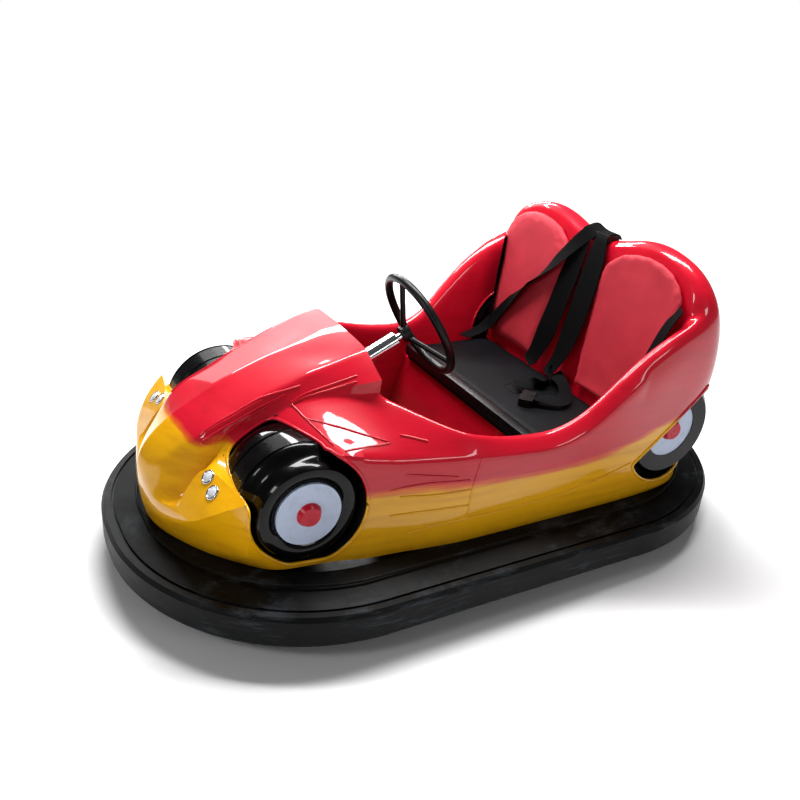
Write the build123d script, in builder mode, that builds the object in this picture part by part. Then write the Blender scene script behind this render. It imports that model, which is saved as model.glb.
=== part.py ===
from build123d import *
import os
from math import atan2, cos, degrees, radians, sin

# Two-seat bumper car with a fibreglass body on a steel chassis.
# X points to the nose, Y to the driver's left, Z up, in millimetres.
# The origin is on the floor, under the middle of the bumper.

os.makedirs("parts", exist_ok=True)

# Bumper
bumper_length = 1950
bumper_width = 1168
bumper_end_flat = 27
bumper_corner = bumper_width / 2 - bumper_end_flat
bumper_bottom = 60
bumper_lip_top = 150
bumper_lip = 26
bumper_groove = 8
bumper_groove_depth = 7
bumper_foot = 90
bumper_flange = 152
bumper_inner_top = 172
bumper_skin = 16
band_wall = 5

# Chassis
floor_top = 122
floor_sheet = 4
rail_width = 32
rail_height = 28
rail_y = 190
rail_length = bumper_length - 450
rail_mid_x = -25

# Body plan, half widths at the body's lower edge
body_bottom = bumper_inner_top
nose_x = bumper_length / 2 - 91
nose_shoulder = (812, 185)
step_x = 139
body_half_width = bumper_width / 2 - 132
fender_front = (594, body_half_width - 77)
fender_rear = (300, body_half_width - 27)
arch_front_x = -400
wing_half_width = body_half_width + 8
# The wings overhang the tail's skirt: where each plan outline leaves the side, and its shoulder
wing_plan = ((-690, body_half_width), (-790, body_half_width - 152))
skirt_plan = ((-610, body_half_width - 8), (-770, body_half_width - 157))
wing_floor_z = 505
tail_x = 123 - bumper_length / 2
shell_wall = 8
side_wall = 50
plan_height = 1000

# Cockpit
cockpit_half_width = body_half_width - side_wall
cowl_x = 316
cowl_half_width = 250
lining_wall = 10
sill_front_z = 498
sill_mid = (-20, 454)
sill_low = (-150, 449)
sill_rise = (-262, 488)
sill_wing = (-346, 580)
wing_mid = (-372, 610)
wing_arch_z = 634
wing_roll = (-432, 660)
rim_foot = (-475, 684)

# Seat back and tail
back_rim_x = -552
hump_back_x = -612
hump_roll = (-697, 755)
tail_break = (-757, 600)
tail_low = (-826, 400)
hump_valley = 838
valley_half = 62
hump_shoulder = (body_half_width, 800)
wing_corner = (body_half_width + 6, 740)

# Dummy road wheels moulded at the corners
front_wheel_x, front_wheel_z = bumper_length / 2 - 414, 332
front_wheel_radius = 154
front_wheel_inner, front_wheel_outer = body_half_width - 287, body_half_width - 62
rear_wheel_x, rear_wheel_z = 400 - bumper_length / 2, 375
rear_wheel_radius = 150
rear_wheel_inner, rear_wheel_outer = body_half_width - 41, body_half_width - 11
disc_radius = 86
disc_depth = 14
cap_radius = 33
cap_height = 14
wheel_pocket_gap = 7
pocket_reach = 600
tread_groove = 6
groove_places = (243, 312)
tyre_shoulder = 14

# Steering
steer_tilt = 26
rim_centre = (61, 622)
rim_radius = 155
rim_tube = 12.5
hub_dish = 50
hub_radius = 26
hub_height = 24
spoke_radius = 8
shaft_radius = 11
column_radius = 24
column_start = 84
spindle_x = 460
gearbox_side = 96
running_fit = 0.3
column_frame_x = 296
column_frame_y = 118
column_frame_tube = 15

# Drive unit
drive_radius = 100
drive_width = 50
motor_radius = 62
motor_width = 62
fork_plate = 10
fork_top = 236
turntable_radius = 92
turntable_height = 14
bridge_plate = 10
bridge_leg_y = 140
bridge_leg_wall = 8
bridge_leg_width = 150
drive_opening = 135
spindle_radius = 15

# Rear rollers
roller_x, roller_y = 375 - bumper_length / 2, 300
roller_radius = 100
roller_width = 45
roller_axle = 12
collar = 5
roller_room = 14
wheel_room = 5
hanger_wall = 8
hanger_side = 36

# Seat
seat_top = 385
seat_thickness = 55
seat_front = -190
seat_rear = -452
seat_half_width = cockpit_half_width - 30
trim_height = 40
riser_x = -135
riser_lean = 60
trim_lap = 10
shell_gap = 0.5
soft_gap = 0.4
back_foot = (-470, 340)
back_head = (-560, 905)
pad_thickness = 30
pad_radius = 172
pad_foot_half = 150
pad_centre_y = body_half_width - 206
pad_bottom = 420
pad_top = 846
pad_recess_half_width = cockpit_half_width + 26
pad_recess_floor = 490
pad_recess_depth = 50
hump_y = body_half_width - 190
hump_top = 893

# Battery and controls
battery_size = (200, 420, 170)
battery_x = -300
pedal_x = 150
pedal_y = -20
pedal_size = (120, 90, 60)

# Transport bolts through the end rails and the floor
bolt_radius = 6.5
bolt_x = (bumper_length / 2 - 285, 235 - bumper_length / 2)

# Seat belts
webbing_width = 48
webbing_thickness = 3
webbing_gap = 2
belt_anchor_x = -550
anchor_length = 44
anchor_height = 20
buckle_x, buckle_y, buckle_turn = -255, 150, 40
buckle_size = (74, 44, 24)


def plan_points(inset, tail):
    """Half plan outline of the body as lines and arcs, moved in by inset."""
    leaves, shoulder = tail
    return (
        (nose_x - inset, 0),
        (nose_shoulder[0] - inset * 0.8, nose_shoulder[1] - inset * 0.6),
        (fender_front[0] - inset * 0.3, fender_front[1] - inset),
        (fender_rear[0], fender_rear[1] - inset),
        (step_x, body_half_width - inset),
        (arch_front_x, wing_half_width - inset),
        (leaves[0], leaves[1] - inset),
        (shoulder[0] + inset * 0.8, shoulder[1] - inset * 0.6),
        (tail_x + inset, 0),
    )


def plan_face(inset, tail=wing_plan):
    nose, nose_mid, front, rear, step, arch, wing, tail_mid, tail_end = plan_points(inset, tail)
    with BuildSketch() as face:
        with BuildLine():
            ThreePointArc(nose, nose_mid, front)
            Polyline(front, rear, step, arch, wing)
            ThreePointArc(wing, tail_mid, tail_end)
            mirror(about=Plane.XZ)
        make_face()
    return face.sketch


def along(distance):
    """A point on the steering axis, measured forward from the rim's plane."""
    return (
        rim_centre[0] + distance * cos(radians(steer_tilt)),
        0,
        rim_centre[1] - distance * sin(radians(steer_tilt)),
    )


def steer_plane(distance):
    return Plane(
        origin=along(distance),
        x_dir=(0, 1, 0),
        z_dir=(cos(radians(steer_tilt)), 0, -sin(radians(steer_tilt))),
    )


def side_plane(y):
    """A plane whose sketch reads (x, z) and whose normal points to +Y."""
    return Plane(origin=(0, y, 0), x_dir=(1, 0, 0), z_dir=(0, -1, 0))


def back_x(z, ahead):
    """The seat back's face at height z, moved ahead."""
    slope = (back_head[0] - back_foot[0]) / (back_head[1] - back_foot[1])
    return back_foot[0] + slope * (z - back_foot[1]) + ahead


def save(part, name):
    part.label = name
    export_step(part, f"parts/{name}.step")


# Bumper: one moulded rubber ring on a steel band
ring_path = RectangleRounded(bumper_length, bumper_width, bumper_corner).wire()
edge_y = bumper_width / 2
with BuildPart() as bumper_ring:
    with BuildSketch(Plane.YZ) as ring_profile:
        with BuildLine():
            Polyline(
                (edge_y - 8, bumper_bottom),
                (edge_y, bumper_bottom + 12),
                (edge_y, bumper_lip_top - 12),
                (edge_y - 8, bumper_lip_top),
                (edge_y - bumper_lip, bumper_lip_top),
                (edge_y - bumper_lip, bumper_lip_top - bumper_groove_depth),
                (edge_y - bumper_lip - bumper_groove, bumper_lip_top - bumper_groove_depth),
                (edge_y - bumper_lip - bumper_groove, bumper_lip_top),
                (edge_y - bumper_flange, bumper_inner_top),
                (edge_y - bumper_flange, bumper_inner_top - bumper_skin),
                (edge_y - bumper_foot, bumper_lip_top - bumper_skin + 8),
                (edge_y - bumper_foot, bumper_bottom),
                close=True,
            )
        make_face()
    sweep(path=ring_path)
save(bumper_ring.part, "bumper_ring")

band_length = bumper_length - 2 * bumper_foot
band_width = bumper_width - 2 * bumper_foot
band_corner = bumper_corner - bumper_foot
with BuildPart() as bumper_band:
    with BuildSketch(Plane.XY.offset(bumper_bottom)):
        RectangleRounded(band_length, band_width, band_corner)
        offset(amount=-band_wall, mode=Mode.SUBTRACT)
    extrude(amount=bumper_lip_top - bumper_skin - bumper_bottom)
save(bumper_band.part, "bumper_band")

# Chassis: two rails on cross members, under a sheet floor
rail_bottom = floor_top - floor_sheet - rail_height
cross_rails = (bolt_x[0], 265, -140, -455, bolt_x[1])
bolt_places = [(x, y) for x in bolt_x for y in (rail_y, -rail_y)]
with BuildPart() as chassis_frame:
    with BuildSketch(Plane.XY.offset(rail_bottom)):
        with Locations((rail_mid_x, rail_y), (rail_mid_x, -rail_y)):
            Rectangle(rail_length, rail_width)
    extrude(amount=rail_height)
    with BuildSketch(Plane.XY.offset(rail_bottom)):
        with Locations(*[(x, 0) for x in cross_rails]):
            Rectangle(rail_width, band_width)
    extrude(amount=-rail_height)
    with BuildSketch(Plane.XY.offset(rail_bottom - rail_height)):
        RectangleRounded(band_length - 2 * band_wall, band_width - 2 * band_wall, band_corner - band_wall)
    extrude(amount=2 * rail_height, mode=Mode.INTERSECT)
    with BuildSketch(Plane.XY):
        with Locations(*bolt_places):
            Circle(bolt_radius)
    extrude(amount=plan_height, mode=Mode.SUBTRACT)
save(chassis_frame.part, "chassis_frame")

with BuildPart() as floor_pan:
    with BuildSketch(Plane.XY.offset(floor_top - floor_sheet)):
        RectangleRounded(band_length - 2 * band_wall, band_width - 2 * band_wall, band_corner - band_wall)
        with Locations((spindle_x, 0)):
            Circle(drive_opening, mode=Mode.SUBTRACT)
        with Locations((roller_x, roller_y), (roller_x, -roller_y)):
            Rectangle(
                2 * (roller_radius + roller_room),
                roller_width + 2 * roller_room,
                mode=Mode.SUBTRACT,
            )
        with Locations(*bolt_places):
            Circle(bolt_radius, mode=Mode.SUBTRACT)
    extrude(amount=floor_sheet)
save(floor_pan.part, "floor_pan")


# Body: one outer form, cut into the panels that meet at the step and the arches
# Columns: x, lower side y, crease y z, side foot y z, ridge y z, plateau edge y z, crown z
body_stations = (
    (step_x - 60, 480, 474, 424, 440, 505, 200, 640, 60, 644, 648),
    (step_x, 478, 474, 424, 436, 506, 200, 640, 60, 644, 648),
    (cowl_x, 450, 446, 440, 262, 575, 168, 645, 150, 649, 655),
    (400, 440, 430, 455, 225, 548, 163, 621, 100, 620, 633),
    (474, 430, 400, 482, 200, 522, 158, 598, 45, 600, 609),
    (560, 420, 380, 468, 184, 502, 150, 560, 25, 576, 580),
    (640, 400, 330, 380, 180, 440, 147, 518, 18, 543, 548),
    (700, 380, 270, 325, 172, 400, 145, 492, 12, 509, 513),
    (760, 350, 225, 262, 150, 335, 142, 452, 8, 477, 480),
    (804, 330, 205, 240, 188, 246, 98, 409, 6, 447, 450),
    (860, 300, 130, 236, 118, 250, 68, 364, 4, 400, 403),
    (905, 270, 70, 235, 58, 250, 40, 312, 3, 335, 338),
)


def station_face(row, inset):
    """Section of the body at one station, moved in by inset."""
    x, side_y, crease_y, crease_z, foot_y, foot_z, ridge_y, ridge_z, edge_y, edge_z, crown_z = row
    with BuildSketch(Plane(origin=(x - inset, 0, 0), x_dir=(0, 1, 0), z_dir=(1, 0, 0))) as face:
        with BuildLine():
            Polyline(
                (0, body_bottom - inset),
                (side_y - inset, body_bottom - inset),
                (crease_y - inset, crease_z - inset / 2),
                (foot_y - inset / 2, foot_z - inset),
                (ridge_y - inset / 2, ridge_z - inset),
                (edge_y, edge_z - inset),
                (0, crown_z - inset),
                close=True,
            )
        make_face()
        mirror(about=Plane.YZ)
    return face.sketch


def nose_form(inset):
    """The hood, fenders and nose, moved in by inset."""
    with BuildPart() as form:
        for row in body_stations:
            add(station_face(row, inset))
        loft(ruled=True)
    with BuildPart() as plan:
        with BuildSketch(Plane.XY):
            add(plan_face(inset))
        extrude(amount=plan_height)
    return form.part & plan.part


def wheel_space(x, z, radius, inner, outer):
    """A solid round pocket for a dummy wheel on the left side."""
    with BuildPart() as space:
        with BuildSketch(side_plane(outer)):
            with Locations((x, z)):
                Circle(radius)
        extrude(amount=outer - inner)
    return space.part


def both_sides(part):
    return part + mirror(part, about=Plane.XZ)


front_pocket = front_wheel_radius + wheel_pocket_gap


def front_pocket_space(grow):
    """The room round a front wheel, open above its front half, made larger by grow."""
    with BuildPart() as space:
        add(
            wheel_space(
                front_wheel_x, front_wheel_z, front_pocket + grow, front_wheel_inner - grow, pocket_reach
            )
        )
        with BuildSketch(side_plane(pocket_reach)):
            with Locations((front_wheel_x + front_pocket / 4, front_wheel_z)):
                Rectangle(
                    front_pocket * 1.5 + 2 * grow, pocket_reach, align=(Align.CENTER, Align.MIN)
                )
        extrude(amount=pocket_reach - front_wheel_inner - wheel_pocket_gap + grow)
    return both_sides(space.part)


front_pockets = front_pocket_space(0)
front_pocket_walls = front_pocket_space(shell_wall)

# The cockpit opening between the cowl and the seat, and the foot space under the cowl
with BuildPart() as cockpit_front:
    with BuildSketch(Plane.XY):
        with BuildLine():
            Polyline(
                (0, cockpit_half_width),
                (step_x, cockpit_half_width),
                (cowl_x, cowl_half_width),
                (cowl_x, -cowl_half_width),
                (step_x, -cockpit_half_width),
                (0, -cockpit_half_width),
                close=True,
            )
        make_face()
    extrude(amount=plan_height)
with BuildPart() as cockpit_lining:
    with BuildSketch(Plane.XY):
        with BuildLine():
            Polyline(
                (0, cockpit_half_width + lining_wall),
                (step_x, cockpit_half_width + lining_wall),
                (cowl_x, cowl_half_width + lining_wall),
                (cowl_x, -cowl_half_width - lining_wall),
                (step_x, -cockpit_half_width - lining_wall),
                (0, -cockpit_half_width - lining_wall),
                close=True,
            )
        make_face()
    extrude(amount=plan_height)

nose_outer = nose_form(0)
nose_inner = nose_form(shell_wall) - front_pocket_walls - cockpit_lining.part
with BuildPart() as front_shell:
    add(nose_outer)
    split(bisect_by=Plane.YZ.offset(step_x))
    add(nose_inner, mode=Mode.SUBTRACT)
    add(cockpit_front.part, mode=Mode.SUBTRACT)
    add(front_pockets, mode=Mode.SUBTRACT)
save(front_shell.part, "front_shell")

# Cockpit sides from the step to the arches
with BuildPart() as plan_band:
    with BuildSketch(Plane.XY.offset(body_bottom)):
        add(plan_face(0))
        Rectangle(2 * bumper_length, 2 * cockpit_half_width, mode=Mode.SUBTRACT)
    extrude(amount=plan_height)
with BuildPart() as side_profile:
    with BuildSketch(side_plane(plan_height)):
        with BuildLine():
            Line((step_x, body_bottom), (step_x, sill_front_z))
            ThreePointArc((step_x, sill_front_z), sill_mid, sill_low)
            ThreePointArc(sill_low, sill_rise, sill_wing)
            ThreePointArc(sill_wing, wing_mid, (arch_front_x, wing_arch_z))
            Polyline((arch_front_x, wing_arch_z), (arch_front_x, body_bottom), (step_x, body_bottom))
        make_face()
    extrude(amount=2 * plan_height)
side_panels = plan_band.part & side_profile.part
for name, panel in zip(("side_panel_right", "side_panel_left"), side_panels.solids().sort_by(Axis.Y)):
    save(panel, name)


def tail_form(inset):
    """Wings, humps and tail as plan, side and rear outlines together, moved in by inset."""
    with BuildPart() as plan:
        with BuildSketch(Plane.XY):
            add(plan_face(inset, skirt_plan))
        extrude(amount=plan_height)
        with BuildSketch(Plane.XY.offset(wing_floor_z + inset)):
            add(plan_face(inset, wing_plan))
        extrude(amount=plan_height - wing_floor_z - inset)
    with BuildPart() as side:
        with BuildSketch(side_plane(plan_height)):
            with BuildLine():
                Line((arch_front_x, body_bottom - inset), (arch_front_x, wing_arch_z - inset))
                ThreePointArc(
                    (arch_front_x, wing_arch_z - inset),
                    (wing_roll[0], wing_roll[1] - inset),
                    (rim_foot[0], rim_foot[1] - inset),
                )
                Line((rim_foot[0], rim_foot[1] - inset), (back_rim_x, hump_top - inset))
                Line((back_rim_x, hump_top - inset), (hump_back_x + inset / 2, hump_top - inset))
                ThreePointArc(
                    (hump_back_x + inset / 2, hump_top - inset),
                    (hump_roll[0] + inset * 0.8, hump_roll[1] - inset * 0.6),
                    (tail_break[0] + inset, tail_break[1]),
                )
                ThreePointArc(
                    (tail_break[0] + inset, tail_break[1]),
                    (tail_low[0] + inset, tail_low[1]),
                    (tail_x + inset, body_bottom - inset),
                )
                Line((tail_x + inset, body_bottom - inset), (arch_front_x, body_bottom - inset))
            make_face()
        extrude(amount=2 * plan_height)
    with BuildPart() as rear:
        with BuildSketch(Plane.YZ.offset(-plan_height)):
            with BuildLine():
                Line((0, hump_valley - inset), (valley_half + inset / 2, hump_valley - inset))
                ThreePointArc(
                    (valley_half + inset / 2, hump_valley - inset), (hump_y, hump_top - inset), hump_side(inset)
                )
                Polyline(
                    hump_side(inset),
                    (wing_corner[0] - inset, wing_corner[1] - inset),
                    (wing_half_width + 20 - inset, wing_corner[1] - 20 - inset),
                    (wing_half_width + 20 - inset, 0),
                    (0, 0),
                )
                mirror(about=Plane.YZ)
            make_face()
        extrude(amount=plan_height)
    return plan.part & side.part & rear.part


def hump_side(inset):
    return (hump_shoulder[0] - inset * 0.8, hump_shoulder[1] - inset * 0.6)


rear_pocket = rear_wheel_radius + wheel_pocket_gap
rear_pockets = both_sides(
    wheel_space(rear_wheel_x, rear_wheel_z, rear_pocket, rear_wheel_inner, pocket_reach)
)
rear_pocket_walls = both_sides(
    wheel_space(
        rear_wheel_x,
        rear_wheel_z,
        rear_pocket + shell_wall,
        rear_wheel_inner - shell_wall,
        pocket_reach,
    )
)


def seat_space(grow):
    """The room ahead of the seat back, between the wings, made larger by grow."""
    with BuildPart() as space:
        with BuildSketch(side_plane(cockpit_half_width + grow)):
            with BuildLine():
                Polyline(
                    (0, 0),
                    (back_foot[0] - grow, 0),
                    (back_foot[0] - grow, back_foot[1]),
                    (back_x(plan_height, -grow), plan_height),
                    (0, plan_height),
                    close=True,
                )
            make_face()
        extrude(amount=2 * (cockpit_half_width + grow))
        with BuildSketch(side_plane(pad_recess_half_width + grow)):
            with BuildLine():
                Polyline(
                    (back_x(pad_recess_floor, -grow), pad_recess_floor - grow),
                    (back_x(pad_recess_floor, pad_recess_depth + grow), pad_recess_floor - grow),
                    (back_x(plan_height, pad_recess_depth + grow), plan_height),
                    (back_x(plan_height, -grow), plan_height),
                    close=True,
                )
            make_face()
        extrude(amount=2 * (pad_recess_half_width + grow))
    return space.part


tail_inner = tail_form(shell_wall) - rear_pocket_walls - seat_space(shell_wall)
with BuildPart() as rear_shell:
    add(tail_form(0))
    add(tail_inner, mode=Mode.SUBTRACT)
    add(seat_space(0), mode=Mode.SUBTRACT)
    add(rear_pockets, mode=Mode.SUBTRACT)
save(rear_shell.part, "rear_shell")

# Seat: a riser and deck moulding, a cushion with its front trim, and two back pads
deck_z = seat_top - seat_thickness
with BuildPart() as seat_base:
    with BuildSketch(side_plane(cockpit_half_width - shell_gap)):
        with BuildLine():
            Polyline(
                (riser_x + riser_lean, floor_top),
                (riser_x, deck_z),
                (back_foot[0] + shell_gap, deck_z),
                (back_foot[0] + shell_gap, deck_z - shell_wall),
                (riser_x - shell_wall, deck_z - shell_wall),
                (riser_x - shell_wall + riser_lean, floor_top),
                close=True,
            )
        make_face()
    extrude(amount=2 * (cockpit_half_width - shell_gap))
save(seat_base.part, "seat_base")

with BuildPart() as seat_trim:
    with BuildSketch(side_plane(seat_half_width)):
        with BuildLine():
            Polyline(
                (seat_front, deck_z),
                (riser_x + trim_lap, deck_z),
                (riser_x + trim_lap, deck_z + trim_height),
                (seat_front, deck_z + seat_thickness),
                close=True,
            )
        make_face()
    extrude(amount=2 * seat_half_width)
save(seat_trim.part, "seat_trim")

with BuildPart() as seat_cushion:
    with BuildSketch(Plane.XY.offset(deck_z)):
        with Locations(((seat_front + seat_rear) / 2 - soft_gap, 0)):
            RectangleRounded(seat_front - seat_rear - 2 * soft_gap, 2 * seat_half_width, 30)
    extrude(amount=seat_thickness)
save(seat_cushion.part, "seat_cushion")

back_lean = degrees(atan2(back_foot[0] - back_head[0], back_head[1] - back_foot[1]))
back_plane = Plane(
    origin=(back_foot[0], 0, back_foot[1]),
    x_dir=(0, 1, 0),
    z_dir=(cos(radians(back_lean)), 0, sin(radians(back_lean))),
)
pad_low = (pad_bottom - back_foot[1]) / cos(radians(back_lean))
pad_high = (pad_top - back_foot[1]) / cos(radians(back_lean))
for name, side in (("backrest_pad_left", 1), ("backrest_pad_right", -1)):
    with BuildPart() as backrest_pad:
        with BuildSketch(back_plane):
            with Locations((side * pad_centre_y, pad_high - pad_radius)):
                Circle(pad_radius)
                Polygon(
                    (-pad_radius, 0),
                    (-pad_foot_half, pad_low + pad_radius - pad_high),
                    (pad_foot_half, pad_low + pad_radius - pad_high),
                    (pad_radius, 0),
                    align=None,
                )
        extrude(amount=pad_thickness)
    save(backrest_pad.part, name)

# Dummy wheels: tyre, painted disc and domed cap at each corner
# Columns: end, x, z, radius, inner face y, outer face y, tread grooves y
wheel_places = (
    ("front", front_wheel_x, front_wheel_z, front_wheel_radius,
     front_wheel_inner, front_wheel_outer, groove_places),
    ("rear", rear_wheel_x, rear_wheel_z, rear_wheel_radius,
     rear_wheel_inner, rear_wheel_outer, ()),
)
for end, x, z, radius, inner, outer, grooves in wheel_places:
    for hand, side in (("left", 1), ("right", -1)):
        with BuildPart() as dummy_tyre:
            with BuildSketch(Plane(origin=(x, 0, z), x_dir=(0, side, 0), z_dir=(1, 0, 0))):
                with BuildLine():
                    Polyline(
                        (inner, 0),
                        (inner, radius - tyre_shoulder / 2),
                        (inner + tyre_shoulder / 2, radius),
                        (outer - tyre_shoulder, radius),
                        (outer, radius - tyre_shoulder),
                        (outer, disc_radius),
                        (outer - disc_depth, disc_radius),
                        (outer - disc_depth, 0),
                        close=True,
                    )
                make_face()
                with Locations(*[(y, radius * side) for y in grooves]):
                    Rectangle(tread_groove, 2 * tread_groove, mode=Mode.SUBTRACT)
            revolve(axis=Axis((x, 0, z), (0, 1, 0)))
        save(dummy_tyre.part, f"{end}_tyre_{hand}")
        face_plane = Plane(origin=(x, side * (outer - disc_depth), z), x_dir=(1, 0, 0), z_dir=(0, side, 0))
        with BuildPart() as disc:
            with BuildSketch(face_plane):
                Circle(disc_radius)
            extrude(amount=disc_depth - 3)
        save(disc.part, f"{end}_disc_{hand}")
        with BuildPart() as cap:
            with BuildSketch(face_plane.offset(disc_depth - 3)):
                Circle(cap_radius)
            extrude(amount=cap_height, taper=28)
        save(cap.part, f"{end}_cap_{hand}")

# Steering: fixed column and gearbox on a welded frame, turning shaft and wheel
with BuildPart() as steering_wheel:
    with BuildSketch(Plane(origin=along(0), x_dir=(0, 1, 0), z_dir=(sin(radians(steer_tilt)), 0, cos(radians(steer_tilt))))):
        with Locations((rim_radius, 0)):
            Circle(rim_tube)
    revolve(axis=Axis(along(0), (-cos(radians(steer_tilt)), 0, sin(radians(steer_tilt)))))
    with BuildSketch(steer_plane(hub_dish - hub_height / 2)):
        Circle(hub_radius)
    extrude(amount=hub_height)
    for angle in (90, 210, 330):
        rim_point = steer_plane(0).from_local_coords(
            Vector(rim_radius * cos(radians(angle)), rim_radius * sin(radians(angle)), 0)
        )
        hub_point = steer_plane(hub_dish).from_local_coords(
            Vector(hub_radius * 0.6 * cos(radians(angle)), hub_radius * 0.6 * sin(radians(angle)), 0)
        )
        with BuildSketch(Plane(origin=hub_point, z_dir=rim_point - hub_point)):
            Circle(spoke_radius)
        extrude(amount=(rim_point - hub_point).length)
save(steering_wheel.part, "steering_wheel")

column_end = (spindle_x - rim_centre[0]) / cos(radians(steer_tilt)) - gearbox_side / 2
with BuildPart() as steering_shaft:
    with BuildSketch(steer_plane(hub_dish + hub_height / 2)):
        Circle(shaft_radius)
    extrude(amount=column_end - hub_dish - hub_height / 2 + 20)
save(steering_shaft.part, "steering_shaft")

with BuildPart() as steering_column:
    with BuildSketch(steer_plane(column_start)):
        Circle(column_radius)
        Circle(shaft_radius + running_fit, mode=Mode.SUBTRACT)
    extrude(amount=column_end - column_start)
save(steering_column.part, "steering_column")

gear_centre = along(column_end + gearbox_side / 2)
with BuildPart() as steering_gearbox:
    with BuildSketch(steer_plane(column_end)):
        RectangleRounded(gearbox_side, gearbox_side, 14)
    extrude(amount=gearbox_side)
    with BuildSketch(steer_plane(column_end)):
        Circle(shaft_radius + running_fit)
    extrude(amount=24, mode=Mode.SUBTRACT)
    with BuildSketch(Plane((spindle_x, 0, gear_centre[2] - gearbox_side))):
        Circle(spindle_radius + 12)
    extrude(until=Until.NEXT)
    with BuildSketch(Plane((spindle_x, 0, gear_centre[2] - gearbox_side - 1))):
        Circle(spindle_radius + running_fit)
    extrude(amount=60, mode=Mode.SUBTRACT)
save(steering_gearbox.part, "steering_gearbox")
spindle_top = gear_centre[2] - gearbox_side + 40

hold_distance = (column_frame_x - rim_centre[0]) / cos(radians(steer_tilt))
hold_z = along(hold_distance)[2]
frame_points = ((-column_frame_y, floor_top), (-column_frame_y, hold_z), (column_frame_y, hold_z), (column_frame_y, floor_top))
with BuildPart() as column_frame:
    with BuildLine(Plane.YZ.offset(column_frame_x)) as frame_line:
        FilletPolyline(*frame_points, radius=50)
    with BuildSketch(Plane(origin=(column_frame_x, -column_frame_y, floor_top), z_dir=(0, 0, 1))):
        Circle(column_frame_tube)
    sweep(path=frame_line.wires()[0])
    with BuildSketch(steer_plane(hold_distance - 22)):
        Circle(column_radius + 9)
    extrude(amount=44)
    with BuildSketch(steer_plane(hold_distance - 60)):
        Circle(column_radius)
    extrude(amount=120, mode=Mode.SUBTRACT)
save(column_frame.part, "column_frame")

# Drive unit: a turntable that carries the fork, motor and drive wheel
bridge_bottom = fork_top + turntable_height
with BuildPart() as drive_bridge:
    with BuildSketch(Plane.XY.offset(bridge_bottom)):
        with Locations((spindle_x, 0)):
            Rectangle(bridge_leg_width, 2 * bridge_leg_y + bridge_leg_wall)
            Circle(spindle_radius + running_fit, mode=Mode.SUBTRACT)
    extrude(amount=bridge_plate)
    with BuildSketch(Plane.XY.offset(floor_top)):
        with Locations((spindle_x, bridge_leg_y), (spindle_x, -bridge_leg_y)):
            Rectangle(bridge_leg_width, bridge_leg_wall)
    extrude(amount=bridge_bottom - floor_top)
save(drive_bridge.part, "drive_bridge")

with BuildPart() as drive_fork:
    with BuildSketch(Plane.XY.offset(fork_top + running_fit)):
        with Locations((spindle_x, 0)):
            Circle(turntable_radius)
    extrude(amount=turntable_height - 2 * running_fit)
    with BuildSketch(Plane.XY.offset(fork_top - fork_plate)):
        with Locations((spindle_x, 0)):
            Circle(turntable_radius - 6)
    extrude(amount=fork_plate + running_fit)
    with BuildSketch(Plane.XY.offset(fork_top)):
        with Locations((spindle_x, 0)):
            Circle(spindle_radius)
    extrude(amount=spindle_top - fork_top)
    with BuildSketch(Plane.XY.offset(drive_radius - 30)):
        with Locations((spindle_x, -(drive_width / 2 + wheel_room + fork_plate / 2))):
            Rectangle(70, fork_plate)
        with Locations((spindle_x, drive_width / 2 + wheel_room + fork_plate / 2)):
            Rectangle(70, fork_plate)
    extrude(amount=fork_top - fork_plate - drive_radius + 30)
save(drive_fork.part, "drive_fork")

axle_line = Plane(origin=(spindle_x, 0, drive_radius), x_dir=(1, 0, 0), z_dir=(0, 1, 0))
with BuildPart() as drive_motor:
    with BuildSketch(axle_line.offset(drive_width / 2 + wheel_room + fork_plate)):
        Circle(motor_radius)
    extrude(amount=motor_width)
save(drive_motor.part, "drive_motor")


def roller(x, y, radius, width, bore, hand_name):
    """A solid rubber tyre on a pressed hub, about a cross axle."""
    hub = radius - 26
    plane = Plane(origin=(x, y - width / 2, radius), x_dir=(1, 0, 0), z_dir=(0, 1, 0))
    with BuildPart() as tyre:
        with BuildSketch(plane):
            Circle(radius)
            Circle(hub, mode=Mode.SUBTRACT)
        extrude(amount=width)
        chamfer(tyre.edges().filter_by(GeomType.CIRCLE).group_by(SortBy.RADIUS)[-1], 6)
    save(tyre.part, f"{hand_name}_tyre")
    with BuildPart() as wheel_hub:
        with BuildSketch(plane):
            Circle(hub)
            Circle(bore, mode=Mode.SUBTRACT)
        extrude(amount=width)
    save(wheel_hub.part, f"{hand_name}_hub")


roller(spindle_x, 0, drive_radius, drive_width, roller_axle, "drive_wheel")
roller(roller_x, roller_y, roller_radius, roller_width, roller_axle, "rear_roller_left")
roller(roller_x, -roller_y, roller_radius, roller_width, roller_axle, "rear_roller_right")

with BuildPart() as drive_axle:
    with BuildSketch(axle_line.offset(-drive_width / 2 - wheel_room)):
        Circle(roller_axle - running_fit)
    extrude(amount=drive_width + 2 * wheel_room)
save(drive_axle.part, "drive_axle")

hanger_y = rail_y + rail_width / 2
for name, side in (("rear_axle_left", 1), ("rear_axle_right", -1)):
    axle_start = Plane(
        origin=(roller_x, side * hanger_y, roller_radius), x_dir=(1, 0, 0), z_dir=(0, side, 0)
    )
    with BuildPart() as rear_axle:
        with BuildSketch(axle_start):
            Rectangle(hanger_side, hanger_side)
        extrude(amount=hanger_wall)
        with BuildSketch(axle_start):
            Circle(roller_axle + collar)
        extrude(amount=roller_y - roller_width / 2 - wheel_room - hanger_y)
        with BuildSketch(axle_start):
            Circle(roller_axle - running_fit)
        extrude(amount=roller_y + roller_width / 2 + wheel_room + hanger_wall - hanger_y)
        with BuildSketch(axle_start.offset(roller_y + roller_width / 2 + wheel_room - hanger_y)):
            Circle(roller_axle + collar)
        extrude(amount=hanger_wall)
    save(rear_axle.part, name)

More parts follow.
